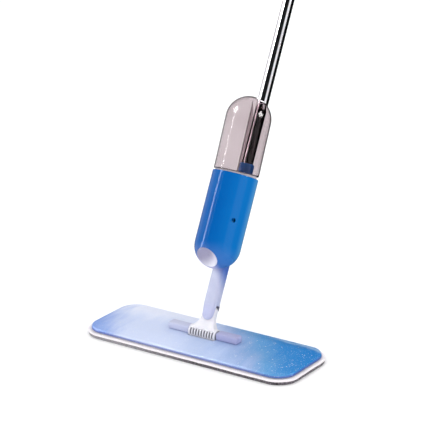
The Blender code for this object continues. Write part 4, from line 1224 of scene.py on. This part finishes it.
def make_surroundings():
    """An even white room. Polished pieces see it as tall bands round them: the bearing of a ray from
    the camera's side picks bright or dark, and the ceiling is dark."""
    world = bpy.data.worlds.new("studio")
    bpy.context.scene.world = world
    world.use_nodes = True
    graph = Graph(world.node_tree)
    background = world.node_tree.nodes["Background"]
    ray = graph.node("ShaderNodeTexCoord", {}, {}, "Generated")
    cos, sin = math.cos(VIEW_AZIMUTH), math.sin(VIEW_AZIMUTH)
    across, ahead, high = (
        graph.node("ShaderNodeVectorMath", {"operation": "DOT_PRODUCT"}, {0: ray, 1: axis}, "Value")
        for axis in ((cos, sin, 0), (sin, -cos, 0), (0, 0, 1))
    )
    bearing = across.maths("ARCTAN2", ahead) * (180 / math.pi)
    bands = 0.25
    for start, end, bright in ROOM_BANDS:
        bands = bearing.within(start, end, min(3, (end - start) / 3)) * bright + bands
    glossy = bands * (1 - high.step(0.55, 0.8) * 0.85)
    for (left, right), (low, top), bright in ROOM_LAMPS:
        glossy = bearing.within(left, right, 3) * high.within(low, top, 0.02) * bright + glossy
    polished = reflected(graph)
    seen = graph.node("ShaderNodeLightPath", {}, {}, "Is Camera Ray")
    strength = glossy * polished + (1 - polished) * (seen * 0.13 + 0.92)
    graph.links.new(strength.socket, background.inputs["Strength"])
    background.inputs["Color"].default_value = (1, 1, 1, 1)


def reflected(graph):
    """1 for a ray that has been mirrored by a polished face and not scattered by a matt one."""
    mirrored, scattered = (
        graph.node("ShaderNodeLightPath", {}, {}, depth).maths("GREATER_THAN", 0.5)
        for depth in ("Glossy Depth", "Diffuse Depth")
    )
    return mirrored * (1 - scattered)


VIEW_AZIMUTH = math.radians(34.3)  # how far round to the right of the front the camera stands

# Bearings in degrees to the right of the camera, and how much brighter than the room each band is
ROOM_BANDS = (
    (-146, -66, 0.8),
    (-89.5, -85.5, 30.0),
    (-66, 27, -0.24),
    (27, 66, 0.75),
    (66, 190, -0.245),
)


# Small lamps for the glints on the dome: bearings, heights as sines, and brightness
ROOM_LAMPS = (
    ((-116, -82), (0.48, 0.76), 44.0),
    ((62, 88), (0.24, 0.58), 48.0),
)


def aim(place, target):
    """The turn that points a lamp's face from its place to a target."""
    return (Vector(target) - Vector(place)).to_track_quat("-Z", "Y")


def soft_light(name, place, target, size, power):
    """A rectangular lamp that polished pieces don't mirror."""
    light = bpy.data.lights.new(name, "AREA")
    light.shape = "RECTANGLE"
    light.size, light.size_y = size
    light.energy = power
    lamp = bpy.data.objects.new(name, light)
    lamp.visible_glossy = False
    lamp.location = place
    lamp.rotation_mode = "QUATERNION"
    lamp.rotation_quaternion = aim(place, target)
    bpy.context.scene.collection.objects.link(lamp)


def make_camera():
    """The camera looks down at the mop from the front right, from far off, through a long lens."""
    elevation, roll = math.radians(19.1), math.radians(-0.43)
    cos, sin = math.cos(VIEW_AZIMUTH), math.sin(VIEW_AZIMUTH)
    right = Vector((cos, sin, 0))
    towards = Vector((sin * math.cos(elevation), -cos * math.cos(elevation), math.sin(elevation)))
    up = towards.cross(right)
    distance, sideways, upwards = 3.238, 0.0183, 0.2131
    place = distance * towards + sideways * right + upwards * up
    turn = Matrix((right, up, towards)).transposed() @ Matrix.Rotation(roll, 3, "Z")
    lens = bpy.data.cameras.new("camera")
    lens.lens = 167.44186
    lens.sensor_width = 36
    lens.clip_end = 200
    camera = bpy.data.objects.new("camera", lens)
    camera.matrix_world = Matrix.Translation(place) @ turn.to_4x4()
    bpy.context.scene.collection.objects.link(camera)
    bpy.context.scene.camera = camera


def dress_nodes(finishes):
    """Every CAD node that stays visible gets the finish of its slot."""
    for row in frame["record"]["subparts"]:
        node = frame["nodes"][row["node"]]
        node.data.materials.clear()
        node.data.materials.append(finishes[row["material_slot"]].material)


white = moulded("plastic_white", (226, 225, 232), 0.36)
pale = misted_neck()
blue = housing_blue()
grip_blue = soft_grip()
grey = moulded("plastic_grey", (84, 87, 96), 0.45)
navy = moulded("plastic_navy", (60, 140, 238), 0.4)
lavender = moulded("plastic_lavender", (180, 180, 216), 0.4)
steel = bare_steel()
bright = chrome()
smoke = smoked_clear()
rubber = moulded("rubber_dark", (34, 34, 36), 0.75)
hose = moulded("hose_milky", (205, 210, 216), 0.3)
dress_nodes({
    "blue_plastic": blue,
    "pale_plastic": lavender,
    "white_plastic": white,
    "grey_plastic": grey,
    "navy_plastic": navy,
    "chrome_tube": bright,
    "steel": steel,
    "smoke_clear": smoke,
    "hose_clear": hose,
    "soft_rubber": rubber,
    "microfibre_white": white,
    "microfibre_grey": rubber,
    "hook_tape": woven("hook_tape", (40, 40, 44), 0.0014),
})

make_camera()
make_studio()
make_plate()
make_hinge_blocks(misted_blocks())
make_pad()
make_yoke(white)
make_neck(pale)
make_housing(blue)
make_nozzle()
make_bottle(smoke)
make_pole(bright, grey)
make_collar(navy)
make_spring()
make_grip(grip_blue)
show(refined("trigger", "trigger_lever", 1.2), grey, "trigger", "grey_plastic", "trigger")
show(refined("hang_loop", "hanging_loop", 1.5), grey, "handle", "grey_plastic", "hang_loop")

bpy.context.scene.view_settings.view_transform = "Standard"
